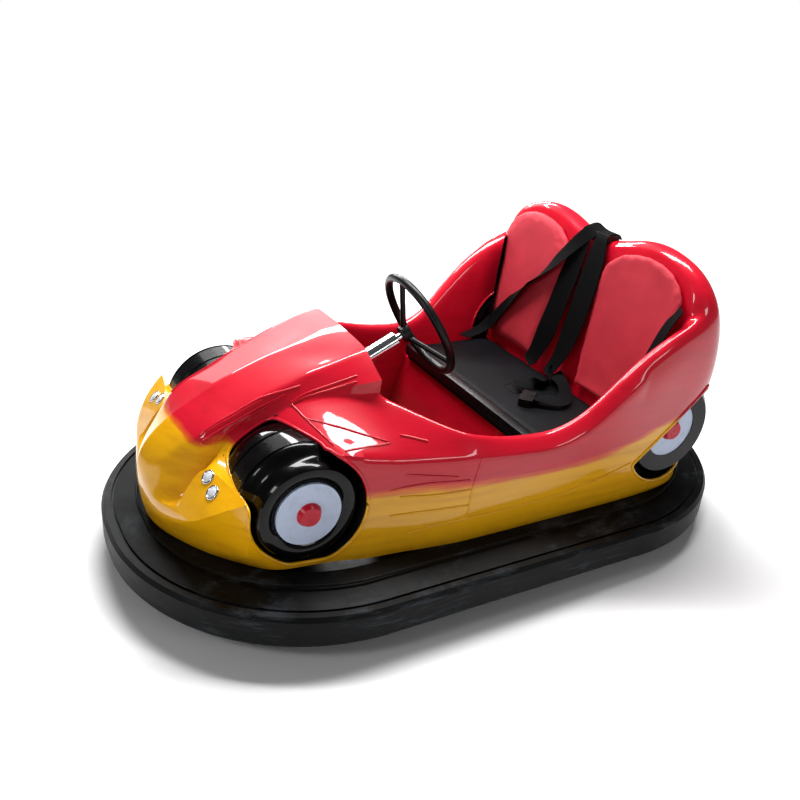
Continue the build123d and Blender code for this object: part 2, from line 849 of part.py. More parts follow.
# Battery, pedal and belts
with BuildPart() as battery:
    with BuildSketch(Plane.XY.offset(floor_top)):
        with Locations((battery_x, 0)):
            Rectangle(battery_size[0], battery_size[1])
    extrude(amount=battery_size[2])
save(battery.part, "battery")

with BuildPart() as accelerator_pedal:
    with BuildSketch(side_plane(pedal_y + pedal_size[1] / 2)):
        with BuildLine():
            Polyline(
                (pedal_x, floor_top),
                (pedal_x + pedal_size[0], floor_top),
                (pedal_x + pedal_size[0], floor_top + pedal_size[2]),
                close=True,
            )
        make_face()
    extrude(amount=pedal_size[1])
save(accelerator_pedal.part, "accelerator_pedal")


def strap(name, y, route):
    """Flat webbing standing across Y, its route given as (x, z)."""
    with BuildPart() as webbing:
        with BuildSketch(side_plane(y + webbing_width / 2)):
            with BuildLine() as line:
                Polyline(*route)
            trace(line_width=webbing_thickness)
        extrude(amount=webbing_width)
    save(webbing.part, name)


strap_lift = webbing_gap + webbing_thickness / 2
for name, side in (("shoulder_belt_left", 1), ("shoulder_belt_right", -1)):
    strap(
        name,
        side * (webbing_width / 2 + webbing_gap),
        (
            (belt_anchor_x + strap_lift, hump_valley + anchor_height / 2),
            (back_x(hump_valley - 30, strap_lift), hump_valley - 30),
            (back_x(deck_z, strap_lift), deck_z + soft_gap),
        ),
    )

with BuildPart() as belt_anchor:
    with BuildSketch(Plane.XY.offset(hump_valley)):
        with Locations((belt_anchor_x - anchor_length / 2, 0)):
            Rectangle(anchor_length, 2 * valley_half - 2 * webbing_gap)
    extrude(amount=anchor_height)
save(belt_anchor.part, "belt_anchor")

with BuildPart() as belt_buckle:
    with BuildSketch(Plane.XY.offset(seat_top)):
        with Locations(Location((buckle_x, buckle_y, 0), (0, 0, buckle_turn))):
            RectangleRounded(*buckle_size[:2], 8)
    extrude(amount=buckle_size[2])
save(belt_buckle.part, "belt_buckle")
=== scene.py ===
# %% [markdown]
# # A fairground bumper car, dressed in Blender
# The frame comes from CAD: every rigid piece is already in its place, in metres.
# This file gives the pieces their finishes, and makes what CAD is poor at:
# the flowing moulded body, the soft pads, the belts and the small trim.

# %% Load the frame and keep its measures
import math
import bpy
import bmesh
from mathutils import Matrix, Vector
from mathutils.geometry import convex_hull_2d


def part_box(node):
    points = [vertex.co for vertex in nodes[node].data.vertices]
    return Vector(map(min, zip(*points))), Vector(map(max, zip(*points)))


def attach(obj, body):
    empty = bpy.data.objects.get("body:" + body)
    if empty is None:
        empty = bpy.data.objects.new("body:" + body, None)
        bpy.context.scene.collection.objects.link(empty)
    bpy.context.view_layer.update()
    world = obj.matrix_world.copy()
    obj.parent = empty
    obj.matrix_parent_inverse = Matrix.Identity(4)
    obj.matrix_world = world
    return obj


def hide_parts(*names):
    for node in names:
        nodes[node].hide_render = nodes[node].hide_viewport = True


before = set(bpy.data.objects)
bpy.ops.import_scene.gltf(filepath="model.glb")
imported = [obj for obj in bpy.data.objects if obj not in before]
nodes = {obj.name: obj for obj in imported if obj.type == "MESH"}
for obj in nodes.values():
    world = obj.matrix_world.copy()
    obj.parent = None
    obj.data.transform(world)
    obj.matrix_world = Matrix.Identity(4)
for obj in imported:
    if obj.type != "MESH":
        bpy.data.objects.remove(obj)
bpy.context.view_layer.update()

bpy.ops.object.select_all(action="DESELECT")

# %% [markdown]
# ## The camera
# The photograph was taken from the front left, a little above the car.
# The place and the angles were solved from known points of the car, such as
# wheel centres, and the focal length in pixels gives the lens.

# %% Set the camera
# the photograph's width and the focal length, both in pixels, and a usual sensor in millimetres
PICTURE, FOCAL_PIXELS, SENSOR = 800, 852.75, 36
CAMERA_PLACE = (1.2635, 1.9825, 1.5166)
# in radians
yaw, pitch, roll = -2.0995, -0.4582, 0.0795
look = Vector((math.cos(pitch) * math.cos(yaw), math.cos(pitch) * math.sin(yaw), math.sin(pitch)))
level = look.cross(Vector((0, 0, 1))).normalized()
rise = level.cross(look)
right = math.cos(roll) * level + math.sin(roll) * rise
up = -math.sin(roll) * level + math.cos(roll) * rise
lens = bpy.data.cameras.new("photo_camera")
lens.sensor_width = SENSOR
lens.lens = SENSOR * FOCAL_PIXELS / PICTURE
camera = bpy.data.objects.new("photo_camera", lens)
bpy.context.scene.collection.objects.link(camera)
camera.matrix_world = Matrix.Translation(CAMERA_PLACE) @ Matrix(
    (right, up, -look)).transposed().to_4x4()
bpy.context.scene.camera = camera
print("lens", round(lens.lens, 2), "mm")

# %% [markdown]
# ## Colour and node helpers
# Colours are written as they look on a screen, and one function turns them
# to the linear values that a shader works in. One more adds a node of any
# kind. Most finishes wear in the same way: a noise gives spots that are paler,
# duller and a little raised, so that recipe is written once.

# %% Helpers for materials
def tint(code):
    """Turn a screen colour such as C8142C to linear red, green, blue and alpha."""
    parts = [int(code[i:i + 2], 16) / 255 for i in (0, 2, 4)]
    return [p / 12.92 if p <= 0.04045 else ((p + 0.055) / 1.055) ** 2.4 for p in parts] + [1]


def add(tree, kind, sockets=None, stops=(), **settings):
    """Add one node. Settings set its properties, sockets fill or join its inputs, and
    stops give the brightness at the two places of a colour ramp."""
    made = tree.nodes.new(kind)
    for name, value in settings.items():
        setattr(made, name, value)
    for name, value in (sockets or {}).items():
        if isinstance(value, bpy.types.NodeSocket):
            tree.links.new(value, made.inputs[name])
        else:
            made.inputs[name].default_value = value
    for number, (place, bright) in enumerate(stops):
        key = made.color_ramp.elements[number]
        key.position = place
        key.color = (bright, bright, bright, 1)
    return made


def start(name, **values):
    """A new material with its tree and its shader, whose even values are set on the shader."""
    made = bpy.data.materials.new(name)
    made.use_nodes = True
    shader = made.node_tree.nodes["Principled BSDF"]
    for socket, value in values.items():
        shader.inputs[socket.replace("_", " ")].default_value = value
    return made, made.node_tree, shader


def join(tree, shader, **sockets):
    """Join sockets to the shader's inputs of the same names."""
    for name, socket in sockets.items():
        tree.links.new(socket, shader.inputs[name.replace("_", " ")])


def places(tree, size=(1, 1, 1)):
    """Object coordinates in metres, multiplied along each axis."""
    coords = add(tree, "ShaderNodeTexCoord")
    return add(tree, "ShaderNodeMapping",
               {"Vector": coords.outputs["Object"], "Scale": size}).outputs["Vector"]


# sockets of a colour Mix node, by number because their names repeat
SHARE, FIRST, SECOND, MIXED = 0, 6, 7, 2


def rub(tree, shader, marks, colours, wear, polish, relief):
    """Spots of wear from a noise, in the colour, the roughness and the height of a finish.

    colours are the fresh and the worn one. wear and polish are stops over the noise, of the
    worn share and of the roughness. relief is the bump's height in metres and its strength.
    """
    share = add(tree, "ShaderNodeValToRGB", {"Fac": marks}, wear)
    colour = add(tree, "ShaderNodeMix", {SHARE: share.outputs["Color"], FIRST: tint(colours[0]),
                                         SECOND: tint(colours[1])}, data_type="RGBA")
    bump = add(tree, "ShaderNodeBump", {"Height": marks, "Distance": relief[0],
                                        "Strength": relief[1]})
    join(tree, shader, Base_Color=colour.outputs[MIXED], Normal=bump.outputs[0])
    if polish:
        shine = add(tree, "ShaderNodeValToRGB", {"Fac": marks}, polish)
        join(tree, shader, Roughness=shine.outputs["Color"])


# %% [markdown]
# ## Sprayed glass-fibre body
# The body is glass-fibre laid up in a mould, sprayed red over yellow with a
# soft edge between them and long strokes of orange, then lacquered. The edge
# is a line in the car's own length and height, so it stays put in each view.
# A slow bump gives the wavy mirror that hand-laid glass-fibre has.

# %% Body lacquer and the edge between its two colours
lacquer, tree, shader = start("sprayed_glass_fibre", Roughness=0.35, Coat_Weight=0.75,
                              Coat_Roughness=0.04, IOR=1.45, Specular_IOR_Level=0.12)
where = places(tree)
axes = add(tree, "ShaderNodeSeparateXYZ", {"Vector": where})
strokes = add(tree, "ShaderNodeTexNoise", {"Vector": places(tree, (3, 10, 42)), "Scale": 1,
                                           "Detail": 5, "Roughness": 0.6})
# the edge's height over the floor, from the tail to the nose, in millimetres
SPRAY_REACH = 900
SPRAY_LINE = [(-900, 430), (-640, 430), (-520, 415), (-410, 377), (-160, 339), (30, 345),
              (270, 354), (410, 358), (600, 372), (660, 420), (700, 446), (760, 436),
              (785, 446), (805, 480), (840, 600), (900, 640)]
length_way = add(tree, "ShaderNodeMapRange", {"Value": axes.outputs["X"],
                                              "From Min": -SPRAY_REACH / 1000,
                                              "From Max": SPRAY_REACH / 1000})
edge = add(tree, "ShaderNodeFloatCurve", {"Value": length_way.outputs["Result"]})
line = edge.mapping.curves[0]
for i, (x, z) in enumerate(SPRAY_LINE):
    spot = ((x + SPRAY_REACH) / (2 * SPRAY_REACH), z / 1000)
    if i in (0, len(SPRAY_LINE) - 1):
        line.points[0 if i == 0 else -1].location = spot
    else:
        line.points.new(*spot)
edge.mapping.update()
above = add(tree, "ShaderNodeMath", {0: axes.outputs["Z"], 1: edge.outputs["Value"]},
            operation="SUBTRACT")
ragged = add(tree, "ShaderNodeMath", {0: strokes.outputs["Fac"], 1: 0.03, 2: above.outputs[0]},
             operation="MULTIPLY_ADD")
mask = add(tree, "ShaderNodeMapRange", {"Value": ragged.outputs[0], "From Min": 0.006,
                                        "From Max": 0.03})

# %% The cockpit is sprayed red all over
# its ends and the seat's front along the car, its half width, and how much wider the seat is
COCKPIT_REAR, SEAT_FRONT, COCKPIT_FRONT = -0.556, 0.05, 0.31
COCKPIT_HALF, SEAT_WIDER = 0.406, 0.026
aside = add(tree, "ShaderNodeMath", {0: axes.outputs["Y"]}, operation="ABSOLUTE")
seat_end = add(tree, "ShaderNodeMath", {0: axes.outputs["X"], 1: SEAT_FRONT},
               operation="LESS_THAN")
wall = add(tree, "ShaderNodeMath", {0: seat_end.outputs[0], 1: SEAT_WIDER, 2: COCKPIT_HALF},
           operation="MULTIPLY_ADD")
within = add(tree, "ShaderNodeMath", {0: aside.outputs[0], 1: wall.outputs[0]},
             operation="LESS_THAN")
behind_bonnet = add(tree, "ShaderNodeMath", {0: axes.outputs["X"], 1: COCKPIT_FRONT},
                    operation="LESS_THAN")
ahead_of_tail = add(tree, "ShaderNodeMath", {0: axes.outputs["X"], 1: COCKPIT_REAR},
                    operation="GREATER_THAN")
cockpit = add(tree, "ShaderNodeMath", {0: within.outputs[0], 1: behind_bonnet.outputs[0]},
              operation="MULTIPLY")
cockpit = add(tree, "ShaderNodeMath", {0: cockpit.outputs[0], 1: ahead_of_tail.outputs[0]},
              operation="MULTIPLY")
red_share = add(tree, "ShaderNodeMath", {0: mask.outputs["Result"], 1: cockpit.outputs[0]},
                operation="MAXIMUM")
sprayed = add(tree, "ShaderNodeValToRGB", {"Fac": red_share.outputs[0]})
keys = sprayed.color_ramp.elements
keys[0].color = tint("E8A806")
keys[1].color = tint("C60F28")
keys.new(0.45).color = tint("D9601A")
print("spray line points", len(SPRAY_LINE))

# %% Strokes, grime near the floor and the wavy skin
stroke_share = add(tree, "ShaderNodeValToRGB", {"Fac": strokes.outputs["Fac"]},
                   ((0.45, 0), (0.75, 0.4)))
streaky = add(tree, "ShaderNodeMix",
              {SHARE: stroke_share.outputs["Color"], FIRST: sprayed.outputs["Color"],
               SECOND: tint("C4A09A")}, data_type="RGBA", blend_type="MULTIPLY")
dust = add(tree, "ShaderNodeTexNoise", {"Vector": where, "Scale": 35, "Detail": 8})
low = add(tree, "ShaderNodeMapRange", {"Value": axes.outputs["Z"], "From Min": 0.15,
                                       "From Max": 0.26, "To Min": 0.45, "To Max": 0.0})
grime = add(tree, "ShaderNodeMath", {0: low.outputs["Result"], 1: dust.outputs["Fac"]},
            operation="MULTIPLY")
paint = add(tree, "ShaderNodeMix", {SHARE: grime.outputs[0], FIRST: streaky.outputs[MIXED],
                                    SECOND: tint("5A4A2A")}, data_type="RGBA")
wavy = add(tree, "ShaderNodeTexNoise", {"Vector": where, "Scale": 9, "Detail": 2})
peel = add(tree, "ShaderNodeTexNoise", {"Vector": where, "Scale": 420, "Detail": 1})
wave_bump = add(tree, "ShaderNodeBump", {"Height": wavy.outputs["Fac"], "Distance": 0.003,
                                         "Strength": 0.3})
skin_bump = add(tree, "ShaderNodeBump", {"Height": peel.outputs["Fac"], "Distance": 0.0002,
                                         "Strength": 0.15, "Normal": wave_bump.outputs[0]})
join(tree, shader, Base_Color=paint.outputs[MIXED], Normal=skin_bump.outputs[0],
     Coat_Normal=wave_bump.outputs[0])
print(lacquer.name, "nodes", len(tree.nodes))

# %% [markdown]
# ## Rubber, plastic and metal
# Each finish starts from what it is made of. Scuffs on the bumper are long
# because cars slide along each other, so their noise is stretched along the car.

# %% Bumper rubber and tyres
bumper_rubber, tree, shader = start("moulded_bumper_rubber", Specular_IOR_Level=0.14)
scuff = add(tree, "ShaderNodeTexNoise", {"Vector": places(tree, (7, 7, 60)), "Scale": 1.3,
                                         "Detail": 9, "Roughness": 0.72})
patches = add(tree, "ShaderNodeTexNoise", {"Vector": places(tree), "Scale": 5, "Detail": 4})
scuff_share = add(tree, "ShaderNodeValToRGB", {"Fac": scuff.outputs["Fac"]}, ((0.5, 0), (0.68, 1)))
patch_share = add(tree, "ShaderNodeValToRGB", {"Fac": patches.outputs["Fac"]},
                  ((0.42, 0), (0.62, 1)))
worn = add(tree, "ShaderNodeMath", {0: scuff_share.outputs["Color"],
                                    1: patch_share.outputs["Color"]}, operation="MULTIPLY")
scuffed = add(tree, "ShaderNodeMix", {SHARE: worn.outputs[0], FIRST: tint("030405"),
                                      SECOND: tint("3A3F44")}, data_type="RGBA")
dull = add(tree, "ShaderNodeMapRange", {"Value": scuff.outputs["Fac"], "To Min": 0.3,
                                        "To Max": 0.72})
bump = add(tree, "ShaderNodeBump", {"Height": scuff.outputs["Fac"], "Distance": 0.0015,
                                    "Strength": 0.5})
join(tree, shader, Base_Color=scuffed.outputs[MIXED], Roughness=dull.outputs["Result"],
     Normal=bump.outputs[0])
print(bumper_rubber.name, "nodes", len(tree.nodes))

# %% Painted dummy tyres and worn rollers
# the dummy tyres are smooth mouldings painted black, so they shine where a real tyre is dull
tyre_paint, tree, shader = start("painted_tyre_moulding", Coat_Weight=0.4, Coat_Roughness=0.04,
                                 Specular_IOR_Level=0.05)
marks = add(tree, "ShaderNodeTexNoise", {"Vector": places(tree), "Scale": 26, "Detail": 8,
                                         "Roughness": 0.7})
rub(tree, shader, marks.outputs["Fac"], ("020203", "0E0E0E"), ((0.6, 0), (0.8, 0.4)),
    ((0.35, 0.2), (0.75, 0.45)), (0.0003, 0.2))

# the rollers run on the floor, so their rubber is grey with dust and even in its shine
roller_rubber, tree, shader = start("worn_roller_rubber", Roughness=0.8)
marks = add(tree, "ShaderNodeTexNoise", {"Vector": places(tree), "Scale": 60, "Detail": 8})
rub(tree, shader, marks.outputs["Fac"], ("1C1B1A", "4B4843"), ((0.4, 0), (0.7, 0.6)), None,
    (0.001, 0.5))
print(tyre_paint.name, roller_rubber.name)

# %% Plain painted, moulded and cast finishes
# Enamel shows rusty brown where it is rubbed, and chrome is bright with faint cloudy spots.
# Cast aluminium keeps the sand's grain, and the mouldings have the even shine of a smooth tool.
FINISHES = [
    # name, base colour, worn colour, metallic, roughness low, high, spots per metre, bump mm
    ("welded_steel_black_enamel", "0E0F10", "2E2A28", 0.0, 0.34, 0.62, 30, 0.4),
    ("polished_chrome_steel", "C9CCD0", "8E9093", 1.0, 0.07, 0.24, 40, 0.05),
    ("sand_cast_aluminium", "8D8F91", "5F5F5F", 1.0, 0.38, 0.6, 160, 0.5),
    ("white_disc_moulding", "C3D0E8", "A9B3C4", 0.0, 0.28, 0.5, 34, 0.15),
    ("red_cap_moulding", "C4122C", "A01A2C", 0.0, 0.16, 0.42, 40, 0.15),
    ("battery_polypropylene", "23262B", "3C3E41", 0.0, 0.42, 0.6, 60, 0.2),
    ("soft_grip_plastic", "060607", "151517", 0.0, 0.26, 0.5, 90, 0.12),
]
finish = {}
for name, base, worn, metal, smooth, rough, spots, depth in FINISHES:
    finish[name], tree, shader = start(name, Metallic=metal, Specular_IOR_Level=0.3)
    marks = add(tree, "ShaderNodeTexNoise", {"Vector": places(tree), "Scale": spots,
                                             "Detail": 7, "Roughness": 0.65})
    rub(tree, shader, marks.outputs["Fac"], (base, worn), ((0.5, 0), (0.75, 0.7)),
        ((0.3, smooth), (0.8, rough)), (depth / 1000, 0.6))
print(len(finish), "plain finishes")

# %% [markdown]
# ## Vinyl and webbing
# The seats are coated cloth: its pressed grain is a cell pattern about 1.5 mm
# across. Belt webbing has a slanting weave, drawn coarser than the threads so
# that it shows. It follows the belt's own length and width, which each strap
# keeps in its UV map in metres.

# %% Vinyls and webbing
def vinyl(name, base, shade, rough, gloss):
    """Coated cloth with a pressed grain and rubbed patches."""
    made, tree, shader = start(name, Roughness=rough, Specular_IOR_Level=gloss)
    grain = add(tree, "ShaderNodeTexVoronoi", {"Vector": places(tree), "Scale": 620},
                feature="DISTANCE_TO_EDGE")
    rubbed = add(tree, "ShaderNodeTexNoise", {"Vector": places(tree), "Scale": 11, "Detail": 6})
    share = add(tree, "ShaderNodeValToRGB", {"Fac": rubbed.outputs["Fac"]}, ((0.35, 0), (0.7, 0.8)))
    colour = add(tree, "ShaderNodeMix", {SHARE: share.outputs["Color"], FIRST: tint(base),
                                         SECOND: tint(shade)}, data_type="RGBA")
    cells = add(tree, "ShaderNodeValToRGB", {"Fac": grain.outputs["Distance"]},
                ((0.0, 0.2), (0.25, 1)))
    slow = add(tree, "ShaderNodeBump", {"Height": rubbed.outputs["Fac"], "Distance": 0.004,
                                        "Strength": 0.3})
    fine = add(tree, "ShaderNodeBump", {"Height": cells.outputs["Color"], "Distance": 0.0004,
                                        "Strength": 0.5, "Normal": slow.outputs[0]})
    join(tree, shader, Base_Color=colour.outputs[MIXED], Normal=fine.outputs[0])
    return made


seat_vinyl = vinyl("black_seat_vinyl", "040507", "0B0C10", 0.5, 0.08)
pad_vinyl = vinyl("red_pad_vinyl", "C2323F", "AE2836", 0.6, 0.22)

webbing, tree, shader = start("woven_belt_webbing", Roughness=0.75, Specular_IOR_Level=0.06)
own = add(tree, "ShaderNodeUVMap", uv_map="strap")
weave = add(tree, "ShaderNodeTexWave", {"Vector": own.outputs[0], "Scale": 90, "Distortion": 1.5,
                                        "Detail": 2},
            wave_type="BANDS", bands_direction="DIAGONAL")
threads = add(tree, "ShaderNodeMix", {SHARE: weave.outputs["Fac"], FIRST: tint("030304"),
                                      SECOND: tint("0A0A0C")}, data_type="RGBA")
bump = add(tree, "ShaderNodeBump", {"Height": weave.outputs["Fac"], "Distance": 0.0005,
                                    "Strength": 0.6})
join(tree, shader, Base_Color=threads.outputs[MIXED], Normal=bump.outputs[0])
print(seat_vinyl.name, pad_vinyl.name, webbing.name)

# %% Give the rigid CAD pieces their finishes
BY_SLOT = {
    "gloss_red_grp": lacquer, "rubber_black": bumper_rubber, "gloss_black_grp": tyre_paint,
    "painted_steel": finish["welded_steel_black_enamel"],
    "bright_steel": finish["polished_chrome_steel"], "cast_alloy": finish["sand_cast_aluminium"],
    "white_disc": finish["white_disc_moulding"], "red_cap": finish["red_cap_moulding"],
    "battery_case": finish["battery_polypropylene"], "grip_black": finish["soft_grip_plastic"],
    "roller_tyre": roller_rubber, "seat_vinyl": seat_vinyl, "back_vinyl": pad_vinyl,
    "webbing": webbing,
}
for piece in nodes.values():
    slot = piece.data.materials[0].name.split(".")[0]
    piece.data.materials[0] = BY_SLOT[slot]
print("finished", len(nodes), "CAD pieces")

# %% [markdown]
# ## The moulded body
# The real body is one glass-fibre moulding: a nose, two bonnet ridges, wings
# over the wheels, low sides and a tall double back. Such a form is drawn as
# half a cage of points, mirrored and smoothed by subdivision. Wheel pockets
# are then cut out of the solid form, its closing faces are taken away, and
# what is left gets the wall of a moulding. The points come from the photograph,
# worked back to the car's own measures, in millimetres.

# %% Cage of the bonnet and nose
# from rear to front; in each row: ridge, foot of the bonnet's side, wing's inner edge,
# wing's outer crease, side, skirt, foot
BONNET = [
    ((316, 168, 645), (316, 262, 600), (316, 255, 560), (316, 408, 444),
     (312, 418, 330), (306, 420, 215), (300, 421, 172)),
    ((360, 166, 634), (360, 240, 586), (362, 242, 552), (350, 406, 452),
     (352, 412, 330), (350, 414, 215), (350, 416, 172)),
    ((400, 163, 621), (400, 220, 575), (405, 226, 552), (400, 402, 462),
     (402, 406, 330), (400, 408, 215), (400, 411, 172)),
    ((440, 160, 609), (442, 204, 564), (448, 212, 548), (440, 397, 474),
     (442, 400, 330), (440, 402, 215), (440, 406, 175)),
    ((474, 158, 598), (476, 194, 552), (490, 200, 540), (470, 391, 484),
     (472, 394, 340), (471, 399, 208), (471, 401, 179)),
    ((520, 154, 577), (520, 186, 530), (530, 186, 525), (520, 380, 478),
     (520, 384, 340), (520, 393, 208), (520, 395, 181)),
    ((560, 150, 560), (560, 172, 512), (565, 175, 505), (560, 370, 440),
     (560, 374, 340), (560, 387, 208), (560, 390, 181)),
    ((600, 148, 540), (600, 160, 490), (604, 168, 470), (600, 362, 410),
     (600, 364, 320), (600, 382, 208), (600, 385, 181)),
    ((640, 147, 519), (640, 158, 466), (650, 170, 420), (640, 366, 380),
     (640, 376, 310), (640, 376, 207), (640, 374, 178)),
    ((680, 146, 500), (684, 154, 452), (708, 188, 392), (690, 376, 352),
     (682, 382, 292), (676, 362, 212), (674, 340, 172)),
    ((722, 144, 483), (738, 166, 394), (752, 186, 413), (717, 385, 397),
     (706, 376, 300), (708, 340, 212), (712, 300, 172)),
    ((765, 138, 450), (772, 172, 334), (789, 188, 374), (784, 338, 358),
     (754, 290, 262), (760, 266, 207), (762, 246, 172)),
    ((797, 104, 420), (812, 160, 272), (834, 188, 303), (837, 258, 289),
     (810, 218, 236), (808, 190, 203), (806, 178, 172)),
    ((832, 84, 384), (852, 108, 288), (861, 122, 280), (864, 136, 256),
     (860, 126, 226), (846, 124, 203), (840, 114, 172)),
    ((862, 66, 345), (873, 62, 312), (878, 60, 280), (878, 58, 252),
     (874, 57, 228), (867, 56, 202), (862, 55, 172)),
]
# the middle of the bonnet and nose, and the line between it and the ridge
MIDDLE = [(316, 655), (360, 645), (400, 633), (440, 621), (474, 609), (520, 595), (560, 580),
          (600, 564), (640, 548), (680, 526), (722, 501), (768, 476), (804, 450), (845, 414),
          (872, 378), (884, 345), (884, 312), (884, 278), (882, 245), (877, 207), (868, 172)]
INNER = [(150, 649), (125, 637), (100, 620), (70, 608), (45, 600), (30, 589), (25, 576),
         (21, 560), (18, 543), (15, 522), (12, 497), (9, 472), (8, 446), (7, 411), (6, 375),
         (6, 343), (6, 310), (6, 276), (6, 243), (6, 206), (6, 172)]

# %% Cage of the sides and back
# from the bonnet back to the middle of the tail; in each row: inner foot, inner top,
# inner and outer edge of the rim, crease, side, skirt, foot
INNER_FOOT_Z, FOOT_Z = 130, 172


def section(x, inner_foot, *spots):
    """A row whose points all lie at one place along the car. The last spot is the foot's y."""
    between_feet = tuple((x, y, z) for y, z in spots[:-1])
    return ((x, inner_foot, INNER_FOOT_Z),) + between_feet + ((x, spots[-1], FOOT_Z),)


SIDES = [
    ((316, 250, 130), (316, 248, 530), (314, 249, 548), (316, 255, 560),
     (316, 408, 444), (312, 418, 330), (306, 420, 215), (300, 421, 172)),
    ((270, 289, 130), (270, 287, 510), (268, 290, 530), (270, 300, 541),
     (270, 418, 441), (270, 426, 330), (270, 428, 215), (270, 427, 172)),
    section(225, 328, (326, 495), (330, 512), (343, 523), (430, 438), (434, 330), (434, 215), 432),
    section(180, 366, (364, 478), (369, 494), (383, 505), (442, 435), (442, 330), (440, 215), 438),
    section(139, 400, (398, 465), (405, 484), (422, 494), (454, 432), (448, 330), (444, 215), 442),
    section(80, 402, (400, 452), (408, 470), (428, 476), (456, 426), (450, 328), (446, 218), 443),
    section(20, 402, (400, 440), (409, 456), (430, 462), (457, 421), (451, 326), (447, 222), 444),
    section(-60, 402, (400, 432), (409, 448), (430, 453), (458, 413), (452, 322), (448, 228), 445),
    section(-125, 402, (401, 430), (412, 445), (433, 452), (462, 414), (453, 318), (449, 236), 445),
    section(-190, 402, (406, 448), (420, 464), (441, 474), (469, 432), (455, 318), (449, 246), 446),
    section(-240, 402, (414, 482), (430, 500), (451, 510), (477, 466), (458, 322), (450, 256), 446),
    section(-290, 402, (420, 532), (438, 550), (459, 561), (485, 514), (461, 338), (451, 268), 446),
    section(-340, 402, (424, 580), (443, 598), (465, 610), (491, 562), (464, 372), (452, 285), 446),
    section(-390, 402, (426, 622), (446, 641), (469, 653), (495, 606), (467, 410), (454, 305), 446),
    section(-437, 402, (426, 652), (447, 672), (471, 684), (497, 640), (469, 446), (455, 325), 445),
    ((-465, 402, 130), (-488, 426, 676), (-488, 446, 698), (-490, 471, 710),
     (-490, 497, 668), (-490, 470, 484), (-490, 456, 345), (-490, 443, 172)),
    ((-468, 402, 130), (-520, 424, 694), (-527, 444, 716), (-534, 468, 728),
     (-540, 494, 690), (-540, 469, 512), (-540, 456, 365), (-540, 440, 172)),
    ((-470, 400, 130), (-536, 424, 718), (-548, 442, 738), (-572, 464, 748),
     (-606, 486, 712), (-640, 468, 522), (-640, 446, 380), (-640, 428, 172)),
    ((-470, 385, 130), (-544, 424, 762), (-553, 437, 774), (-570, 456, 784),
     (-630, 478, 762), (-702, 454, 528), (-700, 408, 380), (-700, 385, 172)),
    ((-470, 350, 130), (-549, 400, 796), (-556, 411, 809), (-570, 430, 822),
     (-640, 452, 800), (-742, 408, 545), (-752, 345, 380), (-755, 320, 172)),
    ((-470, 310, 130), (-551, 368, 824), (-558, 378, 838), (-573, 393, 851),
     (-645, 410, 836), (-758, 340, 560), (-786, 275, 380), (-790, 260, 172)),
    ((-470, 270, 130), (-552, 330, 843), (-559, 337, 857), (-576, 345, 870),
     (-648, 360, 858), (-766, 270, 572), (-806, 212, 380), (-815, 200, 172)),
    ((-470, 230, 130), (-553, 286, 853), (-560, 288, 868), (-578, 290, 882),
     (-648, 298, 872), (-769, 205, 580), (-820, 160, 380), (-830, 155, 172)),
    ((-470, 185, 130), (-553, 240, 855), (-560, 238, 870), (-578, 235, 886),
     (-648, 240, 878), (-771, 140, 586), (-829, 112, 380), (-840, 110, 172)),
    ((-470, 140, 130), (-552, 184, 847), (-559, 178, 862), (-576, 170, 878),
     (-648, 172, 870), (-772, 85, 588), (-834, 62, 380), (-847, 60, 172)),
    ((-470, 95, 130), (-549, 118, 828), (-556, 112, 842), (-572, 105, 856),
     (-645, 103, 849), (-773, 40, 592), (-836, 30, 380), (-851, 30, 172)),
    ((-470, 48, 130), (-546, 60, 808), (-553, 55, 827), (-568, 50, 842),
     (-640, 50, 837), (-773, 18, 592), (-837, 12, 380), (-852, 12, 172)),
    ((-470, 0, 130), (-544, 0, 798), (-551, 0, 818), (-566, 0, 834),
     (-637, 0, 830), (-773, 0, 592), (-837, 0, 380), (-852, 0, 172)),
]
print("rows of points", len(BONNET), "and", len(SIDES))

# %% Helpers for meshes
def only(piece):
    """Make one piece the active and only selected one."""
    bpy.ops.object.select_all(action="DESELECT")
    piece.select_set(True)
    bpy.context.view_layer.objects.active = piece


def modify(piece, kind, **settings):
    """Add a modifier with its settings and apply it."""
    only(piece)
    made = piece.modifiers.new(kind.lower(), kind)
    for name, value in settings.items():
        setattr(made, name, value)
    bpy.ops.object.modifier_apply(modifier=made.name)


def smooth(piece, degrees=40):
    """Smooth shading, with a crisp line where faces turn by more than an angle."""
    only(piece)
    bpy.ops.object.shade_smooth_by_angle(angle=math.radians(degrees))


def settle(piece):
    """Put the piece's place in its mesh, as a CAD node's is."""
    only(piece)
    bpy.ops.object.transform_apply(location=True, rotation=True, scale=True)


def from_mesh(name, bm, material):
    """A new piece from mesh code, with one material."""
    data = bpy.data.meshes.new(name)
    bm.to_mesh(data)
    bm.free()
    data.materials.append(material)
    piece = bpy.data.objects.new(name, data)
    bpy.context.scene.collection.objects.link(piece)
    return piece


def triangles(piece):
    """How many triangles a piece has."""
    return sum(len(p.vertices) - 2 for p in piece.data.polygons)


# %% Weld the cage into half a closed form
SKIN, LID, POCKET = 0, 1, 2
bm = bmesh.new()
sharp = bm.edges.layers.float.new("crease_edge")


def corner(point):
    """A point of the cage, in metres."""
    return bm.verts.new(Vector(point) / 1000)


def panel(rows, index=SKIN):
    """Faces between neighbouring rows of corners."""
    for first, second in zip(rows, rows[1:]):
        for a, b, c, d in zip(first, first[1:], second[1:], second):
            bm.faces.new((a, b, c, d)).material_index = index


